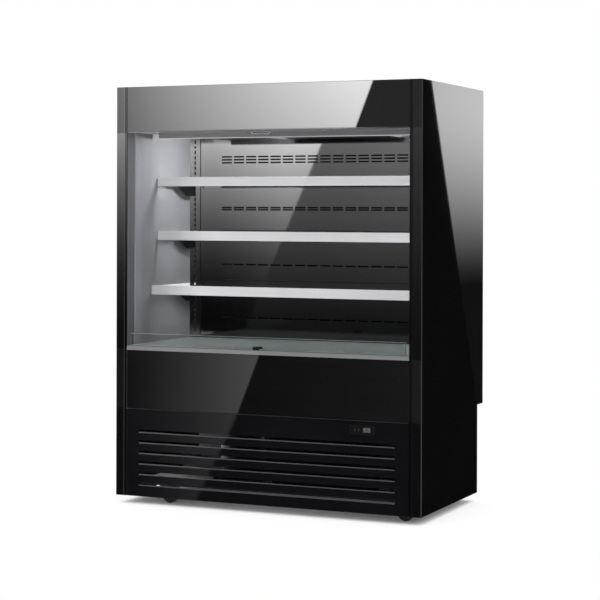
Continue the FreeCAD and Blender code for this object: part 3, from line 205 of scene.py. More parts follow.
def bumped(tree, height, distance, strength=1.0, radius=0.0006):
    """Relief over edges that are softened as if rounded by radius."""
    soft = make(tree, "ShaderNodeBevel", {"Radius": radius}, samples=4)
    fields = {"Height": height, "Distance": distance, "Strength": strength, "Normal": soft}
    return make(tree, "ShaderNodeBump", fields)


def dust(tree, amount):
    """More on faces that look up, broken up by noise."""
    up = make(tree, "ShaderNodeNewGeometry", output="Normal").parts()[2]
    return up.ramp(0.2, 1.0) * noise(tree, place(tree), 30.0, 5.0, 0.6) * amount


def shade(colour, amount, lift=0.0):
    """A colour times an amount. The lift keeps a near-black from staying as dark as it was."""
    return [part * amount + lift for part in colour]


print("patterns ready")

# %% [markdown]
# Every finish is one Principled shader. What is the same all over is set on the shader's own
# inputs, and what changes over the surface is linked, so that it can be baked.

# %% A new material
MATERIALS = {}


def material(name, **settings):
    """A Principled material: settings name its inputs, with _ for a space."""
    new = bpy.data.materials.new(name)
    new.use_nodes = True
    MATERIALS[name] = new
    shader = new.node_tree.nodes["Principled BSDF"]
    feed(new.node_tree, shader, **settings)
    return new.node_tree, shader


def feed(tree, shader, **sockets):
    for key, value in sockets.items():
        plug(tree, value, shader.inputs[key.replace("_", " ")])


print("materials can be made")

# %% [markdown]
# ## Powder coat
# The sheet metal is powder coated: a thick paint that melts into a fine orange peel. Dust settles
# on what faces up. A clear coat layer would do for the gloss, but one layer with a low roughness
# mirrors as cleanly and is quicker to bake. Two masks change the paint at a place: the first paints
# thin lighter lines of highlight onto it, and `duller` leaves it matt.

# %% Powder coat
DUST_GREY = (0.16, 0.15, 0.14)
# The light grey of the painted highlight on the louvre lips.
HIGHLIGHT_GREY = (0.085, 0.085, 0.09)
MATT = 0.34


def powder_coat(name, base, rough, peel=0.00002, grain=900.0, specular=0.5, painted_highlight=None, duller=None):
    """Fine-grained paint. The first mask paints a highlight at a place in a lighter grey, and duller
    leaves a place matt.
    """
    tree, shader = material(name, Metallic=0.0, Specular_IOR_Level=specular)
    where = place(tree)
    broad = noise(tree, where, 3.0, 4.0, 0.6)
    fine = noise(tree, where, grain, 2.0)
    settled = dust(tree, 0.35)
    coat = broad.ramp(0.35, 0.65).colour(base, shade(base, 1.25, 0.0012))
    if painted_highlight:
        # Lines of painted highlight in a lighter grey, where a mask is given.
        coat = painted_highlight(where).colour(coat, HIGHLIGHT_GREY)
    sheen = broad.drift(rough, 0.9, 1.12) + settled
    if duller:
        sheen = sheen + duller(where) * MATT
    feed(tree, shader, Base_Color=settled.colour(coat, DUST_GREY), Roughness=sheen)
    feed(tree, shader, Normal=bumped(tree, fine, peel))


def left_outer_face(where):
    """1 on the face that looks to the left, where the coat is matt."""
    skin = 0.0008
    return where.parts()[0] < -X_OUTER + skin


powder_coat("end_black", (0.003, 0.003, 0.003), 0.07, peel=0.000003, duller=left_outer_face)
powder_coat("wall_black", (0.008, 0.008, 0.009), 0.45, specular=0.2)
powder_coat("bracket_black", (0.006, 0.006, 0.007), 0.42, specular=0.15)
powder_coat("coil_black", (0.010, 0.010, 0.010), 0.6, specular=0.1)
powder_coat("deck_grey", (0.19, 0.205, 0.205), 0.5, specular=0.2)
powder_coat("canopy_white", (0.34, 0.34, 0.36), 0.5, specular=0.1)
powder_coat("trim_white", (0.27, 0.27, 0.295), 0.5, peel=0.00001, specular=0.1)
powder_coat("compressor_black", (0.014, 0.014, 0.015), 0.36, peel=0.00005, grain=400.0)
print(len(MATERIALS), "powder coats")

# %% [markdown]
# The grille panel is the same paint over pressed louvres. Each louvre's lip has a painted highlight,
# a light line along its whole length. Separate strips could lie on the lips, but a mask that
# repeats at the louvres' pitch puts the highlight in the paint itself.

# %% Painted highlights on the louvre lips
LOUVRE_PITCH = 0.0416
LOUVRE_FIRST = 0.0760
LOUVRE_LAST = LOUVRE_FIRST + 5.4 * LOUVRE_PITCH
BELOW_FIRST = 0.01
LIP_HALF_LENGTH = 0.5405


def louvre_lip_highlights(where):
    """1 on thin level lines at the louvres' pitch, within the louvred field, where a highlight is
    painted.
    """
    across, _, up = where.parts()
    near = ((up - LOUVRE_FIRST) / LOUVRE_PITCH + 0.5).fraction() - 0.5
    line = near.size().ramp(0.030, 0.045, 1.0, 0.0)
    field = (up < LOUVRE_LAST) * (up > LOUVRE_FIRST - BELOW_FIRST)
    return line * ((across.size() < LIP_HALF_LENGTH) * field)


# Each louvre lip gets a line of painted highlight.
powder_coat("grille_black", (0.004, 0.004, 0.005), 0.08, peel=0.000004, painted_highlight=louvre_lip_highlights)
print("louvre lips from", LOUVRE_FIRST, "to", round(LOUVRE_LAST, 3))

# %% [markdown]
# ## Gloss enamel
# The fascia, the front panel and the duct panel are stove enamelled to a piano gloss. Nearly all
# that such a panel shows is what it mirrors, so its colour hardly matters and its roughness does:
# wipe marks run along the panel and change the roughness a little, and specks of dust dull it.


# %% Gloss enamel
def gloss_enamel(name, base, rough, specular=0.5):
    tree, shader = material(name, Metallic=0.0, Specular_IOR_Level=specular)
    where = place(tree)
    wipe = noise(tree, where.scaled((1.0, 1.0, 9.0)), 2.2, 5.0, 0.62)
    specks = noise(tree, where, 260.0, 2.0).ramp(0.62, 0.75, 0.0, 0.02)
    feed(tree, shader, Base_Color=wipe.ramp(0.4, 0.7).colour(base, shade(base, 1.3, 0.001)))
    feed(tree, shader, Roughness=wipe.ramp(0.4, 0.7, rough, rough * 1.5) + specks)
    feed(tree, shader, Normal=bumped(tree, noise(tree, where, 14.0, 2.0), 0.00001))


gloss_enamel("fascia_black", (0.002, 0.002, 0.002), 0.03)
gloss_enamel("front_black", (0.002, 0.002, 0.002), 0.03)
gloss_enamel("duct_black", (0.003, 0.003, 0.003), 0.04, specular=1.0)
gloss_enamel("standard_black", (0.010, 0.010, 0.011), 0.10, specular=1.0)
print(len(MATERIALS), "painted finishes")

# %% [markdown]
# ## Bare metals
# Rolled and drawn metal has a grain along its length. Noise that is stretched along one axis gives
# it, and a second, wider noise keeps the sheet from looking printed. Where a lacquer or the light
# makes a metal read as a plain light grey, as on the price rails, its metallic share is low.

# %% Brushed metals
ALONG_X = (0.02, 1.0, 1.0)
ALONG_Z = (1.0, 1.0, 0.02)
NO_GRAIN = (1.0, 1.0, 1.0)


def metal_grain(tree, where, stretch):
    """The fine grain along a metal's length, and the grain mixed with a broad unevenness."""
    grain = noise(tree, where.scaled(stretch), 60.0, 6.0, 0.7)
    broad = noise(tree, where, 4.0, 3.0)
    return grain, (grain * 0.5 + broad * 0.5).ramp(0.35, 0.65)


def brushed(name, base, rough, stretch=NO_GRAIN, metallic=1.0, specular=0.5):
    tree, shader = material(name, Metallic=metallic, Specular_IOR_Level=specular)
    grain, tone = metal_grain(tree, place(tree), stretch)
    feed(tree, shader, Base_Color=tone.colour(shade(base, 0.82), base))
    feed(tree, shader, Roughness=grain.drift(rough, 0.8, 1.25) + dust(tree, 0.2))
    feed(tree, shader, Normal=bumped(tree, grain, 0.000004))


brushed("rail_silver", (0.79, 0.79, 0.80), 0.5, ALONG_X, metallic=0.0, specular=0.05)
brushed("channel_aluminium", (0.30, 0.30, 0.31), 0.45, ALONG_X, metallic=0.2, specular=0.1)
brushed("lamp_aluminium", (0.30, 0.30, 0.31), 0.5, ALONG_X, metallic=0.0, specular=0.2)
brushed("bar_aluminium", (0.62, 0.63, 0.65), 0.3, ALONG_X)
brushed("coil_fins", (0.60, 0.61, 0.62), 0.4, ALONG_Z)
brushed("fan_metal", (0.56, 0.57, 0.58), 0.38)
brushed("caster_zinc", (0.58, 0.59, 0.61), 0.3)
brushed("chrome_wire", (0.30, 0.30, 0.31), 0.2, metallic=0.8)
brushed("screw_steel", (0.60, 0.60, 0.62), 0.25)
brushed("copper", (0.78, 0.42, 0.29), 0.3)
print(len(MATERIALS), "finishes so far")

# %% [markdown]
# The side liners are satin steel. The black end panel's lip laps over each liner's front edge, and
# just behind it the steel lies in the lip's shade. The lip could be a mesh strip, but it lies flat on
# the steel, so two ramps along the depth draw both.

# %% Liner steel
LIP = (FRONT + 0.003, FRONT + 0.004)
# Over this depth the steel is darkened as painted shade of the lip.
LIP_SHADE = (FRONT + 0.055, FRONT + 0.075)


def liner(name, base, rough):
    """Satin steel whose folded front edge is covered by the black end panel's lip, with painted shade
    on the steel just behind the lip.
    """
    tree, shader = material(name, Specular_IOR_Level=0.25)
    where = place(tree)
    grain, tone = metal_grain(tree, where, ALONG_Z)
    steel = tone.colour(shade(base, 0.88), base)
    depth = where.parts()[1]
    # Painted shade: the steel just behind the lip is darker.
    shaded = depth.ramp(*LIP_SHADE, 1.0, 0.0).colour(steel, shade(base, 0.5))
    lip = depth.ramp(*LIP, 1.0, 0.0)
    feed(tree, shader, Base_Color=lip.colour(shaded, (0.003, 0.003, 0.003)))
    feed(tree, shader, Metallic=(1.0 - lip) * 0.15)
    feed(tree, shader, Roughness=grain.drift(rough, 0.8, 1.25) - lip * 0.3)
    feed(tree, shader, Normal=bumped(tree, grain, 0.000004))


liner("liner_steel", (0.34, 0.34, 0.365), 0.42)
print("liner lip ends at y", round(LIP[1], 4))

# %% [markdown]
# The machine room's sheets are hot-dip galvanised. The zinc freezes into spangles, which are the
# cells of a Voronoi texture with a slightly different tone each, and white rust stains it broadly.


# %% Galvanised sheet
def galvanised(name, base, rough, cell=90.0):
    tree, shader = material(name, Metallic=0.4, Specular_IOR_Level=0.2)
    where = place(tree)
    cells = make(tree, "ShaderNodeTexVoronoi", {"Vector": where, "Scale": cell}, "Color")
    tone = cells.parts()[0]
    stain = noise(tree, where, 6.0, 6.0, 0.65)
    spangle = (tone * 0.6 + stain * 0.4).ramp(0.2, 0.8)
    feed(tree, shader, Base_Color=spangle.colour(shade(base, 0.7), base))
    feed(tree, shader, Roughness=tone.ramp(0.0, 1.0, rough * 0.8, rough * 1.2) + stain * 0.1)
    feed(tree, shader, Normal=bumped(tree, tone, 0.00001))


galvanised("galvanised", (0.20, 0.205, 0.21), 0.55)
galvanised("tub_liner", (0.24, 0.245, 0.25), 0.5, cell=60.0)
print(len(MATERIALS), "finishes so far")

# %% [markdown]
# ## Plastics, rubber and film
# Mouldings carry the fine grain that was spark-eroded into their mould, so a very fine noise pits
# them. Handling wears them lighter in broad patches. The tyres wear most.


# %% Mouldings
def moulded(name, base, rough, grain=1500.0, depth=0.00003, wear=1.3, specular=0.4):
    tree, shader = material(name, Specular_IOR_Level=specular)
    where = place(tree)
    pits = noise(tree, where, grain, 2.0)
    broad = noise(tree, where, 8.0, 4.0, 0.6)
    feed(tree, shader, Base_Color=broad.ramp(0.3, 0.7).colour(base, shade(base, wear, 0.002)))
    feed(tree, shader, Roughness=broad.drift(rough, 0.92, 1.08) + dust(tree, 0.15))
    feed(tree, shader, Normal=bumped(tree, pits, depth, radius=0.0004))


moulded("black_plastic", (0.006, 0.006, 0.006), 0.42, specular=0.15)
moulded("key_plastic", (0.010, 0.010, 0.011), 0.5, specular=0.15)
moulded("inlet_grey", (0.20, 0.21, 0.21), 0.45)
moulded("pan_grey", (0.22, 0.23, 0.24), 0.48)
moulded("gland_black", (0.018, 0.018, 0.019), 0.4)
moulded("seal_rubber", (0.022, 0.022, 0.023), 0.62, grain=700.0)
# A dark grey that paints the shade in the joint under the front panel.
moulded("joint_shade_grey", (0.026, 0.026, 0.027), 0.6, specular=0.1)
moulded("glass_edge", (0.16, 0.20, 0.19), 0.3, grain=300.0, depth=0.000005)
moulded("caster_rubber", (0.035, 0.035, 0.038), 0.62, grain=500.0, depth=0.00008, wear=2.4)
moulded("mark_white", (0.10, 0.10, 0.11), 0.5)
print(len(MATERIALS), "finishes so far")

# %% [markdown]
# The night curtain is a coated woven film. Two sets of even threads, taken from the fractions of
# the place across and along, add up to its weave, and soil shows in its colour.


# %% Curtain film
def woven(name, base, rough, threads=900.0):
    tree, shader = material(name, Sheen_Weight=0.1)
    across, _, along = place(tree).parts()
    weft = (across * threads).fraction() - 0.5
    warp = (along * threads).fraction() - 0.5
    weave = weft.size() + warp.size()
    soil = noise(tree, place(tree), 5.0, 5.0, 0.6)
    tone = (weave * 0.4 + soil * 0.6).ramp(0.2, 0.8)
    feed(tree, shader, Base_Color=tone.colour(shade(base, 0.75), base))
    feed(tree, shader, Roughness=soil.drift(rough, 0.9, 1.1))
    feed(tree, shader, Normal=bumped(tree, weave, 0.00015, 0.6))


woven("curtain_film", (0.48, 0.50, 0.53), 0.5)
print(len(MATERIALS), "finishes so far")

# %% [markdown]
# ## Glass and lights
# Glass is clear with a slight green cast, and finger marks and wiping show in its roughness. Its
# cut edges look deeper green, so the panes keep one body colour and the riser's polished edges are
# separate thin strips. The lens over the lamp is opal and glows where the lamp is, and so does each
# segment of the controller's digits.


# %% Glass and glowing finishes
def glazing(name, base, rough):
    tree, shader = material(name, Transmission_Weight=1.0, IOR=1.5)
    smear = noise(tree, place(tree).scaled((1.0, 3.0, 1.0)), 7.0, 5.0, 0.6)
    feed(tree, shader, Base_Color=smear.ramp(0.4, 0.7).colour(base, shade(base, 0.97)))
    feed(tree, shader, Roughness=smear.ramp(0.45, 0.8, rough, rough + 0.06))
    feed(tree, shader, Normal=bumped(tree, smear, 0.000002, radius=0.0008))


def glowing(name, colour, strength, base):
    tree, shader = material(name, Base_Color=base, Emission_Strength=strength, Roughness=0.5)
    tint = noise(tree, place(tree), 40.0, 2.0)
    feed(tree, shader, Emission_Color=tint.ramp(0.3, 0.7).colour(shade(colour, 0.9), colour))
    feed(tree, shader, Normal=bumped(tree, tint, 0.00001))


glazing("shelf_glass", (0.80, 0.87, 0.85), 0.01)
glazing("riser_glass", (0.88, 0.92, 0.91), 0.01)
glowing("lamp_lens", (0.30, 0.30, 0.29), 1.0, base=(0.3, 0.3, 0.3))
glowing("digit_grey", (0.55, 0.50, 0.52), 0.6, base=(0.1, 0.1, 0.1))
print(len(MATERIALS), "finishes in all")

# %% [markdown]
# ## Dressing the CAD nodes
# Each node takes the finish that its real piece has. A table that a loop reads is easier to check
# than a line for each node, and the count at the end tells whether a node was forgotten.

# %% Finish of each node
SHELVES = (1, 2, 3)
SHELF_GLASSES = [f"shelf_glass_{shelf}" for shelf in SHELVES]
SHELF_BRACKETS = [f"shelf_brackets_{shelf}" for shelf in SHELVES]
FINISH = {
    "end_black": ["end_panel_left", "end_panel_right"],
    "wall_black": ["rear_wall", "roof_panel"],
    "liner_steel": ["side_liner_left", "side_liner_right"],
    "trim_white": ["side_trims"],
    "tub_liner": ["insulated_tub"],
    "front_black": ["front_panel"],
    "fascia_black": ["canopy_fascia"],
    "canopy_white": ["canopy_ceiling"],
    "lamp_aluminium": ["lamp_housing"],
    "lamp_lens": ["lamp_diffuser"],
    "channel_aluminium": ["riser_channel"],
    "riser_glass": ["riser_glass"],
    "inlet_grey": ["inlet_grille"],
    "black_plastic": ["curtain_catch", "controller"],
    "deck_grey": ["deck_pan"],
    "duct_black": ["duct_panel"],
    "standard_black": ["shelf_standards"],
    "shelf_glass": SHELF_GLASSES,
    "bracket_black": SHELF_BRACKETS,
    "rail_silver": [f"price_rail_{shelf}" for shelf in SHELVES],
    "curtain_film": ["curtain_roller", "curtain_sheet"],
    "bar_aluminium": ["curtain_bar"],
    "chrome_wire": ["pull_handle"],
    "grille_black": ["grille_panel"],
    "key_plastic": ["key_up", "key_down"],
    "galvanised": ["base_pan", "rear_base_cover", "fan_shroud", "evaporator_fan_plate"],
    "gland_black": ["cable_gland"],
    "compressor_black": ["compressor"],
    "coil_black": ["condenser_coil"],
    "coil_fins": ["evaporator_coil"],
    "fan_metal": ["condenser_fan", "evaporator_fan_left", "evaporator_fan_right"],
    "pan_grey": ["condensate_pan"],
    "copper": ["refrigerant_lines"],
    "caster_zinc": [name for name in nodes if name.startswith(("caster_fork", "brake_pedal"))],
    "caster_rubber": [name for name in nodes if name.startswith("caster_wheel")],
}
dressed = set()
for finish, names in FINISH.items():
    for name in names:
        nodes[name].data.materials.clear()
        nodes[name].data.materials.append(MATERIALS[finish])
        dressed.add(name)
print(len(dressed), "of", len(nodes), "nodes dressed, left out:", sorted(set(nodes) - dressed))

# %% [markdown]
# Two kinds of node need a word about rays. Clear glass would cast a dark shadow, because a path
# that passes through it can't be aimed at a lamp, so the panes cast none and the lamp's light
# reaches the lower shelves. The pieces at the left would show as a dark band at the left end of the
# glossy duct panel, so mirrors don't see them.

# %% Rays and the nodes
HIDDEN_FROM_MIRRORS = ["side_liner_left", "end_panel_left", "side_trims", *SHELF_BRACKETS]
for name in [*SHELF_GLASSES, "riser_glass"]:
    nodes[name].visible_shadow = False
for name in HIDDEN_FROM_MIRRORS:
    nodes[name].visible_glossy = False
print(len(HIDDEN_FROM_MIRRORS), "nodes hidden from mirrors")

# %% [markdown]
# ## Helpers for added pieces
# Added pieces are built in place and then ride on the body that carries them, so that they move
# with it. A mesh from lists of corners and faces gives full control and needs no operators, which
# would depend on what is selected.


# %% Piece helpers
def piece(name, corners, faces, finish, body):
    """A mesh piece from its corners and faces, riding on a body if one is named."""
    mesh = bpy.data.meshes.new(name)
    mesh.from_pydata([tuple(corner) for corner in corners], [], faces)
    mesh.materials.append(MATERIALS[finish])
    mesh.update()
    thing = bpy.data.objects.new(name, mesh)
    bpy.context.scene.collection.objects.link(thing)
    if body:
        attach(thing, body)
    return thing


def block(name, a, b, finish, body):
    """A box between two corners."""
    corners = [(x, y, z) for x in (a[0], b[0]) for y in (a[1], b[1]) for z in (a[2], b[2])]
    faces = [(0, 1, 3, 2), (4, 6, 7, 5), (0, 4, 5, 1), (2, 3, 7, 6), (0, 2, 6, 4), (1, 5, 7, 3)]
    piece(name, corners, faces, finish, body)


print("boxes and meshes can be made")

# %% [markdown]
# ## Screws
# Pan-head screws hold the duct panel and the covers at the back. A head is a turned shape, so its
# half profile is revolved about the screw's axis. The cross recess is painted shade: two thin dark
# quads just above the crown, which is lighter than cutting the recess out of each head.

# %% Turned pieces and screws
SCREW_RADIUS = 0.0042
HEAD_STEPS = 16
SHARP = math.radians(35)


def turned(name, profile, centre, axis, finish, body):
    """Revolve (radius, along) points about an axis through a centre."""
    side = axis.orthogonal().normalized()
    other = axis.cross(side)
    corners = []
    for step in range(HEAD_STEPS):
        turn = 2 * math.pi * step / HEAD_STEPS
        out = side * math.cos(turn) + other * math.sin(turn)
        corners += [Vector(centre) + out * radius + axis * along for radius, along in profile]
    count = len(profile)
    faces = []
    for step in range(HEAD_STEPS):
        here = step * count
        there = (step + 1) % HEAD_STEPS * count
        faces += [(here + k, here + k + 1, there + k + 1, there + k) for k in range(count - 1)]
    thing = piece(name, corners, faces, finish, body)
    for polygon in thing.data.polygons:
        polygon.use_smooth = True
    modifier = thing.modifiers.new("edges", "EDGE_SPLIT")
    modifier.split_angle = SHARP


def screw(name, at, out, finish):
    """A pan-head screw with a cross recess, seated on a face that looks along out."""
    out = Vector(out)
    radius = SCREW_RADIUS
    height = radius * 0.5
    slot = radius * 0.12
    rim = [(radius, 0), (radius, height * 0.3)]
    crown = [(radius * 0.8, height * 0.8), (radius * 0.35, height), (0, height)]
    turned(name, rim + crown, at, out, finish, "cabinet")
    # The recess is painted shade: two dark quads just above the crown.
    side = out.orthogonal().normalized() * radius * 0.55
    for index, arm in enumerate((side, out.cross(side))):
        wide = out.cross(arm).normalized() * slot
        top = Vector(at) + out * (height + 0.00005)
        corners = [top - arm - wide, top + arm - wide, top + arm + wide, top - arm + wide]
        piece(f"{name}_recess_shade_{index}", corners, [(0, 1, 2, 3)], "black_plastic", "cabinet")


print("screws can be made")

# %% [markdown]
# ## Seals and edges
# The riser glass stands in a black gasket that shows as a fine dark line on both faces. A box on
# each face is enough, because the gasket's grip is hidden in the channel.

# %% Riser gasket
GASKET = 0.0003
GASKET_SUNK = 0.006
GASKET_PROUD = 0.0012
glass_low = low("riser_glass")
glass_high = high("riser_glass")
channel_top = high("riser_channel").z
for index, y in enumerate((glass_low.y - GASKET, glass_high.y)):
    a = (glass_low.x, y, channel_top - GASKET_SUNK)
    b = (glass_high.x, y + GASKET, channel_top + GASKET_PROUD)
    block(f"riser_gasket_{index + 1}", a, b, "seal_rubber", "cabinet")
print("gasket along", round(glass_high.x - glass_low.x, 3))

# %% [markdown]
# The duct panel's screws stand in a column beside each edge, between the rows of air slots. The
# back has six down each side, spread evenly.

# %% Screws
DUCT_SCREW_HEIGHTS = (0.66, 0.86, 1.06, 1.26, high("duct_panel").z - 0.011)
DUCT_SCREW_INSET = 0.0105
REAR_SCREWS = 6
REAR_SCREW_INSET = 0.018
REAR_SCREW_MARGIN = 0.04
REAR_SHEET = 0.0022
SIDES = (("left", -1), ("right", 1))
for side, way in SIDES:
    for level, z in enumerate(DUCT_SCREW_HEIGHTS):
        at = (way * (high("duct_panel").x - DUCT_SCREW_INSET), DUCT_FACE, z)
        screw(f"duct_screw_{side}_{level + 1}", at, (0, -1, 0), "black_plastic")
wall_low = low("rear_wall")
wall_high = high("rear_wall")
rise = wall_high.z - wall_low.z - 2 * REAR_SCREW_MARGIN
for side, way in SIDES:
    for level in range(REAR_SCREWS):
        z = wall_low.z + REAR_SCREW_MARGIN + rise * level / (REAR_SCREWS - 1)
        at = (way * (wall_high.x - REAR_SCREW_INSET), BACK - REAR_SHEET, z)
        screw(f"rear_screw_{side}_{level + 1}", at, (0, 1, 0), "screw_steel")
print("screws on the duct panel:", 2 * len(DUCT_SCREW_HEIGHTS), "and at the back:", 2 * REAR_SCREWS)

# %% [markdown]
# A seal strip lies under the canopy's foot. A dark grey strip of painted shade fills the joint
# between the front panel and the grille panel, where light from behind would otherwise show as
# white specks.

# %% Seal strips
SEAL_MARGIN = 0.0003
foot = low("canopy_fascia").z
canopy_low = (-0.604, FRONT + 0.0006, foot + 0.0002)
canopy_high = (0.604, FRONT + 0.0026, foot + 0.0042)
block("canopy_seal", canopy_low, canopy_high, "seal_rubber", "cabinet")
# The joint's shade is painted with a dark grey strip.
joint_low = (-0.590, FRONT + 0.0012, high("grille_panel").z + SEAL_MARGIN)
joint_high = (0.590, FRONT + 0.006, low("front_panel").z - SEAL_MARGIN)
block("joint_shade_strip", joint_low, joint_high, "joint_shade_grey", "cabinet")
print("front joint", round(joint_high[2] - joint_low[2], 4), "high")

# %% [markdown]
# The riser glass has ground and polished edges, which catch more green than the pane. Each is a
# strip that stands a hair proud of the pane on every side, so that the two never share a face.

# %% Riser edges
PROUD = 0.0002
SIDE_GAP = 0.0005
near_y = glass_low.y - 0.0001
far_y = glass_high.y + 0.0001
top_low = (glass_low.x + SIDE_GAP, near_y, glass_high.z - 0.0012)
top_high = (glass_high.x - SIDE_GAP, far_y, glass_high.z + PROUD)
block("riser_edge_top", top_low, top_high, "glass_edge", "cabinet")
for side, x in (("left", glass_low.x), ("right", glass_high.x)):
    a = (x - PROUD, near_y, channel_top + 0.001)
    b = (x + PROUD, far_y, glass_high.z)
    block(f"riser_edge_{side}", a, b, "glass_edge", "cabinet")
print("polished edge", round(top_high[0] - top_low[0], 3), "long")

# %% [markdown]
# ## The night curtain
# A strip of film hangs from the roller to the weight bar. The film is a fine grid with a slight
# sway that takes the place of the CAD sheet, which is hidden, and it rides on no body.

# %% Hanging film
ROWS = 24
COLUMNS = 40
SWAY = 0.0002
WAVES = 31
sheet_low = low("curtain_sheet")
sheet_high = high("curtain_sheet")
corners = []
for level in range(ROWS + 1):
    for column in range(COLUMNS + 1):
        x = sheet_low.x + (sheet_high.x - sheet_low.x) * column / COLUMNS
        z = sheet_low.z + (sheet_high.z - sheet_low.z) * level / ROWS
        sway = SWAY * math.sin(x * WAVES) * math.sin(math.pi * level / ROWS)
        corners.append((x, (sheet_low.y + sheet_high.y) / 2 + sway, z))
width = COLUMNS + 1
faces = [
    (r * width + c, r * width + c + 1, (r + 1) * width + c + 1, (r + 1) * width + c)
    for r in range(ROWS) for c in range(COLUMNS)
]
film = piece("hanging_film", corners, faces, "curtain_film", None)
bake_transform(film)
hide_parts("curtain_sheet")

# %% [markdown]
# ## The controller's face
# The controller has a dark window with three seven-segment digits. Text from a font would bring a
# typeface's shapes, so each digit is built from its lit bars, as the real display is. A segment's
# row gives its centre, in digit half widths and half heights, and whether it lies flat.

# %% Display
WINDOW_OFFSET = 0.016
WINDOW_HALF = (0.0185, 0.0095)
WINDOW_DEPTH = 0.0007
DIGIT_PITCH = 0.0105
DIGIT_HALF = (0.0036, 0.0066)
STROKE = 0.0012
STROKE_GAP = STROKE * 0.7
DIGIT_THICK = 0.0002
SEGMENTS = {
    "a": (0, 1, True), "b": (1, 0.5, False), "c": (1, -0.5, False), "d": (0, -1, True),
    "e": (-1, -0.5, False), "f": (-1, 0.5, False), "g": (0, 0, True),
}
LIT = {"3": "abcdg", "0": "abcdef", "8": "abcdefg"}
FLAT_BAR = (DIGIT_HALF[0] - STROKE_GAP, STROKE / 2)
UPRIGHT_BAR = (STROKE / 2, DIGIT_HALF[1] / 2 - STROKE_GAP)
window_x = middle("controller").x + WINDOW_OFFSET
window_z = middle("controller").z
window_y = low("controller").y + WINDOW_DEPTH
a = (window_x - WINDOW_HALF[0], window_y, window_z - WINDOW_HALF[1])
b = (window_x + WINDOW_HALF[0], window_y + 0.0001, window_z + WINDOW_HALF[1])
block("display_backing", a, b, "black_plastic", "grille_panel")
for index, digit in enumerate("308"):
    centre_x = window_x + (index - 1) * DIGIT_PITCH
    for key in LIT[digit]:
        dx, dz, flat = SEGMENTS[key]
        half = FLAT_BAR if flat else UPRIGHT_BAR
        x = centre_x + dx * DIGIT_HALF[0]
        z = window_z + dz * DIGIT_HALF[1]
        a = (x - half[0], window_y - DIGIT_THICK, z - half[1])
        b = (x + half[0], window_y, z + half[1])
        block(f"digit_{index + 1}_{key}", a, b, "digit_grey", "grille_panel")
print("window at", round(window_x, 4), round(window_z, 4))

# %% [markdown]
# Each key has an arrow printed on its cap. The arrow is a single triangle a hair in front of the
# cap, and it rides on the key so that it goes in with it.

# %% Key arrows
ARROW_HALF = 0.0022
ARROW_FOOT = 0.0013
PRINT = 0.00002
for key, way in (("key_up", 1), ("key_down", -1)):
    centre = middle(key)
    y = low(key).y - PRINT
    foot_z = centre.z - ARROW_FOOT * way
    tip = (centre.x, y, centre.z + ARROW_HALF * way)
    arrow = [(centre.x - ARROW_HALF, y, foot_z), (centre.x + ARROW_HALF, y, foot_z), tip]
    piece(f"{key}_arrow", arrow, [(0, 1, 2)], "mark_white", key)
print("arrows on both keys")

# %% [markdown]
# ## The studio
# The camera stands level at the front right, a little above the deck. Tilting it down would make
# the case's upright edges lean together, so its frame is shifted down instead.

# %% Camera
EYE = (2.876, -6.5089, 1.163)
LENS = 106.34
FRAME_SHIFT = -0.1492
ROLL = math.radians(-0.158)
HEADING = math.radians(23.888)
camera_data = bpy.data.cameras.new("camera")
camera_data.lens = LENS
camera_data.sensor_width = 36.0
camera_data.shift_y = FRAME_SHIFT
camera = bpy.data.objects.new("camera", camera_data)
camera.location = EYE
camera.rotation_euler = (math.radians(90.0), ROLL, HEADING)
bpy.context.scene.collection.objects.link(camera)
bpy.context.scene.camera = camera
bpy.context.scene.view_settings.view_transform = "Standard"
print("camera at", tuple(camera.location))

# %% [markdown]
# ## Reflection cards
# Gloss black shows little but what it mirrors, so a studio stands lit cards around it. Each card
# here is a plane that neither the camera nor a matt surface sees. Its glow is written in the
# mirrored panel's own coordinates: `panel_place` finds which spot of the panel shows each spot of
# the card, so the sheen's slanted edge and its fading can be given in metres on the panel. This
# holds for the main camera, and from elsewhere the sheen falls at another place.

# %% Where a panel shows a card
eye = camera.location


def reach_of(plane, card_at, axis):
    """How much further from the eye's mirror image the card is than the panel."""
    image = 2 * plane - eye[axis]
    return (card_at - image) / (plane - image)


def on_card(value, reach, axis):
    """The place on the card that the panel's place mirrors, along one axis."""
    return eye[axis] + reach * (value - eye[axis])


def panel_place(tree, reach, across):
    """The card's own place, turned back into across and up on the panel that mirrors it."""
    spot = place(tree).parts()
    return [(spot[axis] - eye[axis]) * (1 / reach) + eye[axis] for axis in (across, 2)]


def left_of(u, v, points, soft=0.004):
    """1 on the left of the slanted line through two (across, up) points, 0 on its right."""
    (u0, v0), (u1, v1) = points
    return (u - (v - v0) * ((u1 - u0) / (v1 - v0)) - u0).ramp(-soft, soft, 1.0, 0.0)


def split(mask, light, dark):
    return mask * light + (1.0 - mask) * dark


print("mirror geometry ready")

# %% [markdown]
# A card's mesh is the mirrored view of a stretch of the panel, widened to the card's distance. Its
# emission's colour carries the pattern and the strength stays at 1. It casts no shadow and is part
# of the stage, so it never counts as a piece of the case.


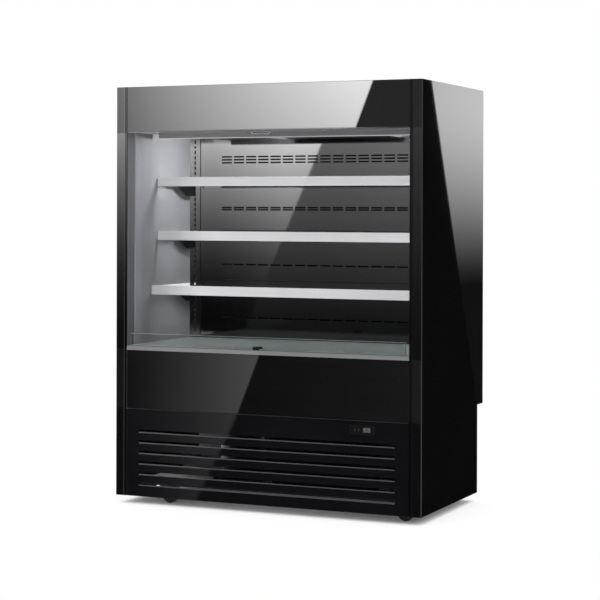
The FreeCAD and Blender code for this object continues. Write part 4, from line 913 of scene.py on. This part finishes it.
# %% The card itself
def card(name, plane, card_at, span, heights, glow, axis=1):
    """A glowing plane that fills the mirrored view of span by heights on the panel."""
    across = 1 - axis
    reach = reach_of(plane, card_at, axis)
    tree, _ = material(name)
    tree.nodes.clear()
    u, v = panel_place(tree, reach, across)
    emission = make(tree, "ShaderNodeEmission", {"Color": glow(u, v), "Strength": 1.0})
    make(tree, "ShaderNodeOutputMaterial", {0: emission})
    corners = []
    for side, level in ((0, 0), (1, 0), (1, 1), (0, 1)):
        corner = [0.0, 0.0, on_card(heights[level], reach, 2)]
        corner[axis] = card_at
        corner[across] = on_card(span[side], reach, across)
        corners.append(corner)
    thing = piece(name, corners, [(0, 1, 2, 3)], name, None)
    for ray in ("camera", "diffuse", "shadow", "volume_scatter"):
        setattr(thing, f"visible_{ray}", False)
    print(name, "reaches", round(reach, 3), "times as far as its panel")


# %% [markdown]
# Four cards stand in front of the case. A black panel mirrors only a few hundredths of the light,
# so a card has to be many times brighter than the sheen it gives. The duct panel mirrors twice as
# much as the others, so its card is half as bright. One slanted edge runs down over all of them.

# %% Front cards
CARD_Y = -0.45
SHEEN = 25.0
DUCT_SHEEN = 12.5
CANOPY_EDGE = ((0.4482, 1.6463), (0.378, 1.4697))
OPENING_EDGE = ((0.0343, 1.4933), (-0.1489, 1.0822))
PANEL_EDGE = ((-0.0205, 0.5973), (-0.1033, 0.3917))
GRILLE_EDGE = ((-0.1033, 0.3917), (-0.2345, 0.1377))


def canopy_glow(u, v):
    """Brightens to the right as far as the edge, and a little upwards."""
    mask = left_of(u, v, CANOPY_EDGE)
    light = u.ramp(-0.62, 0.38, 0.138, 0.69) * v.ramp(1.47, 1.65, 0.88, 1.09)
    return split(mask, light, 0.0165) * SHEEN


def opening_glow(u, v):
    """Fades downwards, faster at the left, with a weaker glow on the right of the edge."""
    mask = left_of(u, v, OPENING_EDGE)
    fade = v.ramp(0.62, 1.46)
    light = fade ** u.ramp(-0.48, -0.15, 3.4, 2.6) * u.ramp(-0.48, -0.15, 0.44, 0.61) + 0.001
    right_end = u.ramp(0.57, 0.70, 1.0, 0.45)
    dark = fade ** 1.7 * u.ramp(0.0, 0.4, 0.115, 0.135) * right_end + 0.002
    return split(mask, light, dark) * DUCT_SHEEN


def panel_glow(u, v):
    """Brightens to the right as far as the edge, and is nearly black beyond it."""
    mask = left_of(u, v, PANEL_EDGE)
    light = u.ramp(-0.60, -0.05) ** 1.4 * 0.050 + 0.004
    return split(mask, light, u.ramp(0.0, 0.6, 0.003, 0.007)) * SHEEN


def grille_glow(u, v):
    """The front panel's sheen carried on, weaker and with a softer edge."""
    mask = left_of(u, v, GRILLE_EDGE, 0.01)
    light = u.ramp(-0.62, -0.12) ** 1.6 * 0.022 + 0.001
    return split(mask, light, 0.001) * SHEEN


panel_low = low("front_panel").z
panel_high = high("front_panel").z
SPAN = (-0.75, 0.75)
card("card_canopy", FRONT, CARD_Y, SPAN, (low("canopy_fascia").z, TOP + 0.03), canopy_glow)
card("card_opening", DUCT_FACE, CARD_Y, (-0.75, 0.95), (0.65, 1.4465), opening_glow)
card("card_panel", FRONT, CARD_Y, SPAN, (panel_low, panel_high), panel_glow)
card("card_grille", FRONT, CARD_Y, SPAN, (0.02, panel_low), grille_glow)

# %% [markdown]
# The right end panel shows a grey haze at its upper back and is black below it. Its card stands
# beside the case, at the right.

# %% Card for the end panel
SIDE_CARD_X = 0.70
SIDE_SHEEN = 5.5
SIDE_EDGE = ((-0.255, 1.640), (0.1737, 0.658))


def side_glow(u, v):
    """A haze on the right of the edge that eases out downwards."""
    mask = left_of(u, v, SIDE_EDGE)
    fade = v.ramp(0.85, 1.60)
    haze = fade * fade * (3.0 - 2.0 * fade) * 0.48 + 0.004
    return split(mask, 0.002, haze) * SIDE_SHEEN


card("card_side", X_OUTER, SIDE_CARD_X, (-0.45, 0.45), (0.02, 1.70), side_glow, axis=0)

# %% [markdown]
# ## Floor and world
# The backdrop is white wherever the camera, a mirror or a pane of glass sees it, which Light Path
# tells apart from the rays that light the case. More light would whiten it too, but would bleach
# the case. On the floor the white gives way near the casters, which Ambient Occlusion finds, so
# that the case keeps its soft shadow and doesn't float.

# %% Floor
WHITE = (1.0, 1.0, 1.0)
FLOOR_HALF = 12
SHADOW_REACH = 0.35


def seen_as_backdrop(tree):
    """1 for the rays that see the backdrop, 0 for those that light the case."""
    kinds = ("Camera", "Glossy", "Transmission")
    rays = [make(tree, "ShaderNodeLightPath", output=f"Is {kind} Ray") for kind in kinds]
    return sum(rays).ramp(0.0, 1.0)


tree, shader = material("floor", Roughness=0.7, Specular_IOR_Level=0.1)
cloud = noise(tree, place(tree), 0.7, 3.0).ramp(0.3, 0.7)
feed(tree, shader, Base_Color=cloud.colour((0.80, 0.80, 0.80), (0.83, 0.83, 0.83)))
clear = make(tree, "ShaderNodeAmbientOcclusion", {"Distance": SHADOW_REACH}, "AO", samples=8)
white = make(tree, "ShaderNodeEmission", {"Color": WHITE, "Strength": 1.0})
factor = seen_as_backdrop(tree) * clear.ramp(0.0, 0.6)
lit = Sock(tree, shader.outputs[0])
both = make(tree, "ShaderNodeMixShader", {0: factor, 1: lit, 2: white})
plug(tree, both, tree.nodes["Material Output"].inputs[0])
outline = ((-1, -1), (1, -1), (1, 1), (-1, 1))
corners = [(x * FLOOR_HALF, y * FLOOR_HALF, 0) for x, y in outline]
floor = piece("floor", corners, [(0, 1, 2, 3)], "floor", None)
print("floor", 2 * FLOOR_HALF, "metres square")

# %% [markdown]
# The world is the same white to those rays, and a dim grey to the rays that light the case, so that
# the lamps alone decide how bright it is.

# %% World
world = bpy.data.worlds.new("studio")
bpy.context.scene.world = world
world.use_nodes = True
tree = world.node_tree
tree.nodes.clear()
dim = make(tree, "ShaderNodeBackground", {"Color": (0.82, 0.83, 0.85), "Strength": 0.3})
white = make(tree, "ShaderNodeBackground", {"Color": WHITE, "Strength": 1.0})
both = make(tree, "ShaderNodeMixShader", {0: seen_as_backdrop(tree), 1: dim, 2: white})
make(tree, "ShaderNodeOutputWorld", {0: both})
print("backdrop white, floor shadow kept")

# %% [markdown]
# ## Lights
# Two broad soft lights stand in front and one hangs above. They are hidden from mirrors, because
# the cards do that work. The lens under the canopy glows too weakly to light the shelves, so a wide
# strip below it shines down, and two short ones are tilted towards the side liners.


# %% Lights
def area_light(name, at, towards, size, power):
    """A rectangular light that mirrors don't see, turned towards a place."""
    data = bpy.data.lights.new(name, "AREA")
    data.shape = "RECTANGLE"
    data.size, data.size_y = size
    data.energy = power
    light = bpy.data.objects.new(name, data)
    light.location = at
    light.rotation_euler = (Vector(towards) - Vector(at)).to_track_quat("-Z", "Y").to_euler()
    light.visible_glossy = False
    bpy.context.scene.collection.objects.link(light)


area_light("key", (-3.0, -4.0, 3.4), (0, 0, 0.9), (2.4, 2.4), 110.0)
area_light("fill", (0.4, -5.0, 2.4), (0, 0, 0.8), (2.0, 2.0), 60.0)
area_light("top", (0.0, -0.6, 4.2), (0, 0, 0), (3.0, 3.0), 80.0)
lamp_y = low("price_rail_3").y + 0.08
lamp_z = CEILING - 0.022
area_light("canopy_lamp", (0, lamp_y, lamp_z), (0, lamp_y, 0.9), (0.80, 0.10), 0.8)
for side, x in (("left", -0.24), ("right", 0.24)):
    aim = (x * 2.4, lamp_y, lamp_z - 0.14)
    area_light(f"canopy_lamp_{side}", (x, lamp_y, lamp_z), aim, (0.10, 0.03), 1.7)
print("lamp at", round(lamp_y, 4), round(lamp_z, 4))
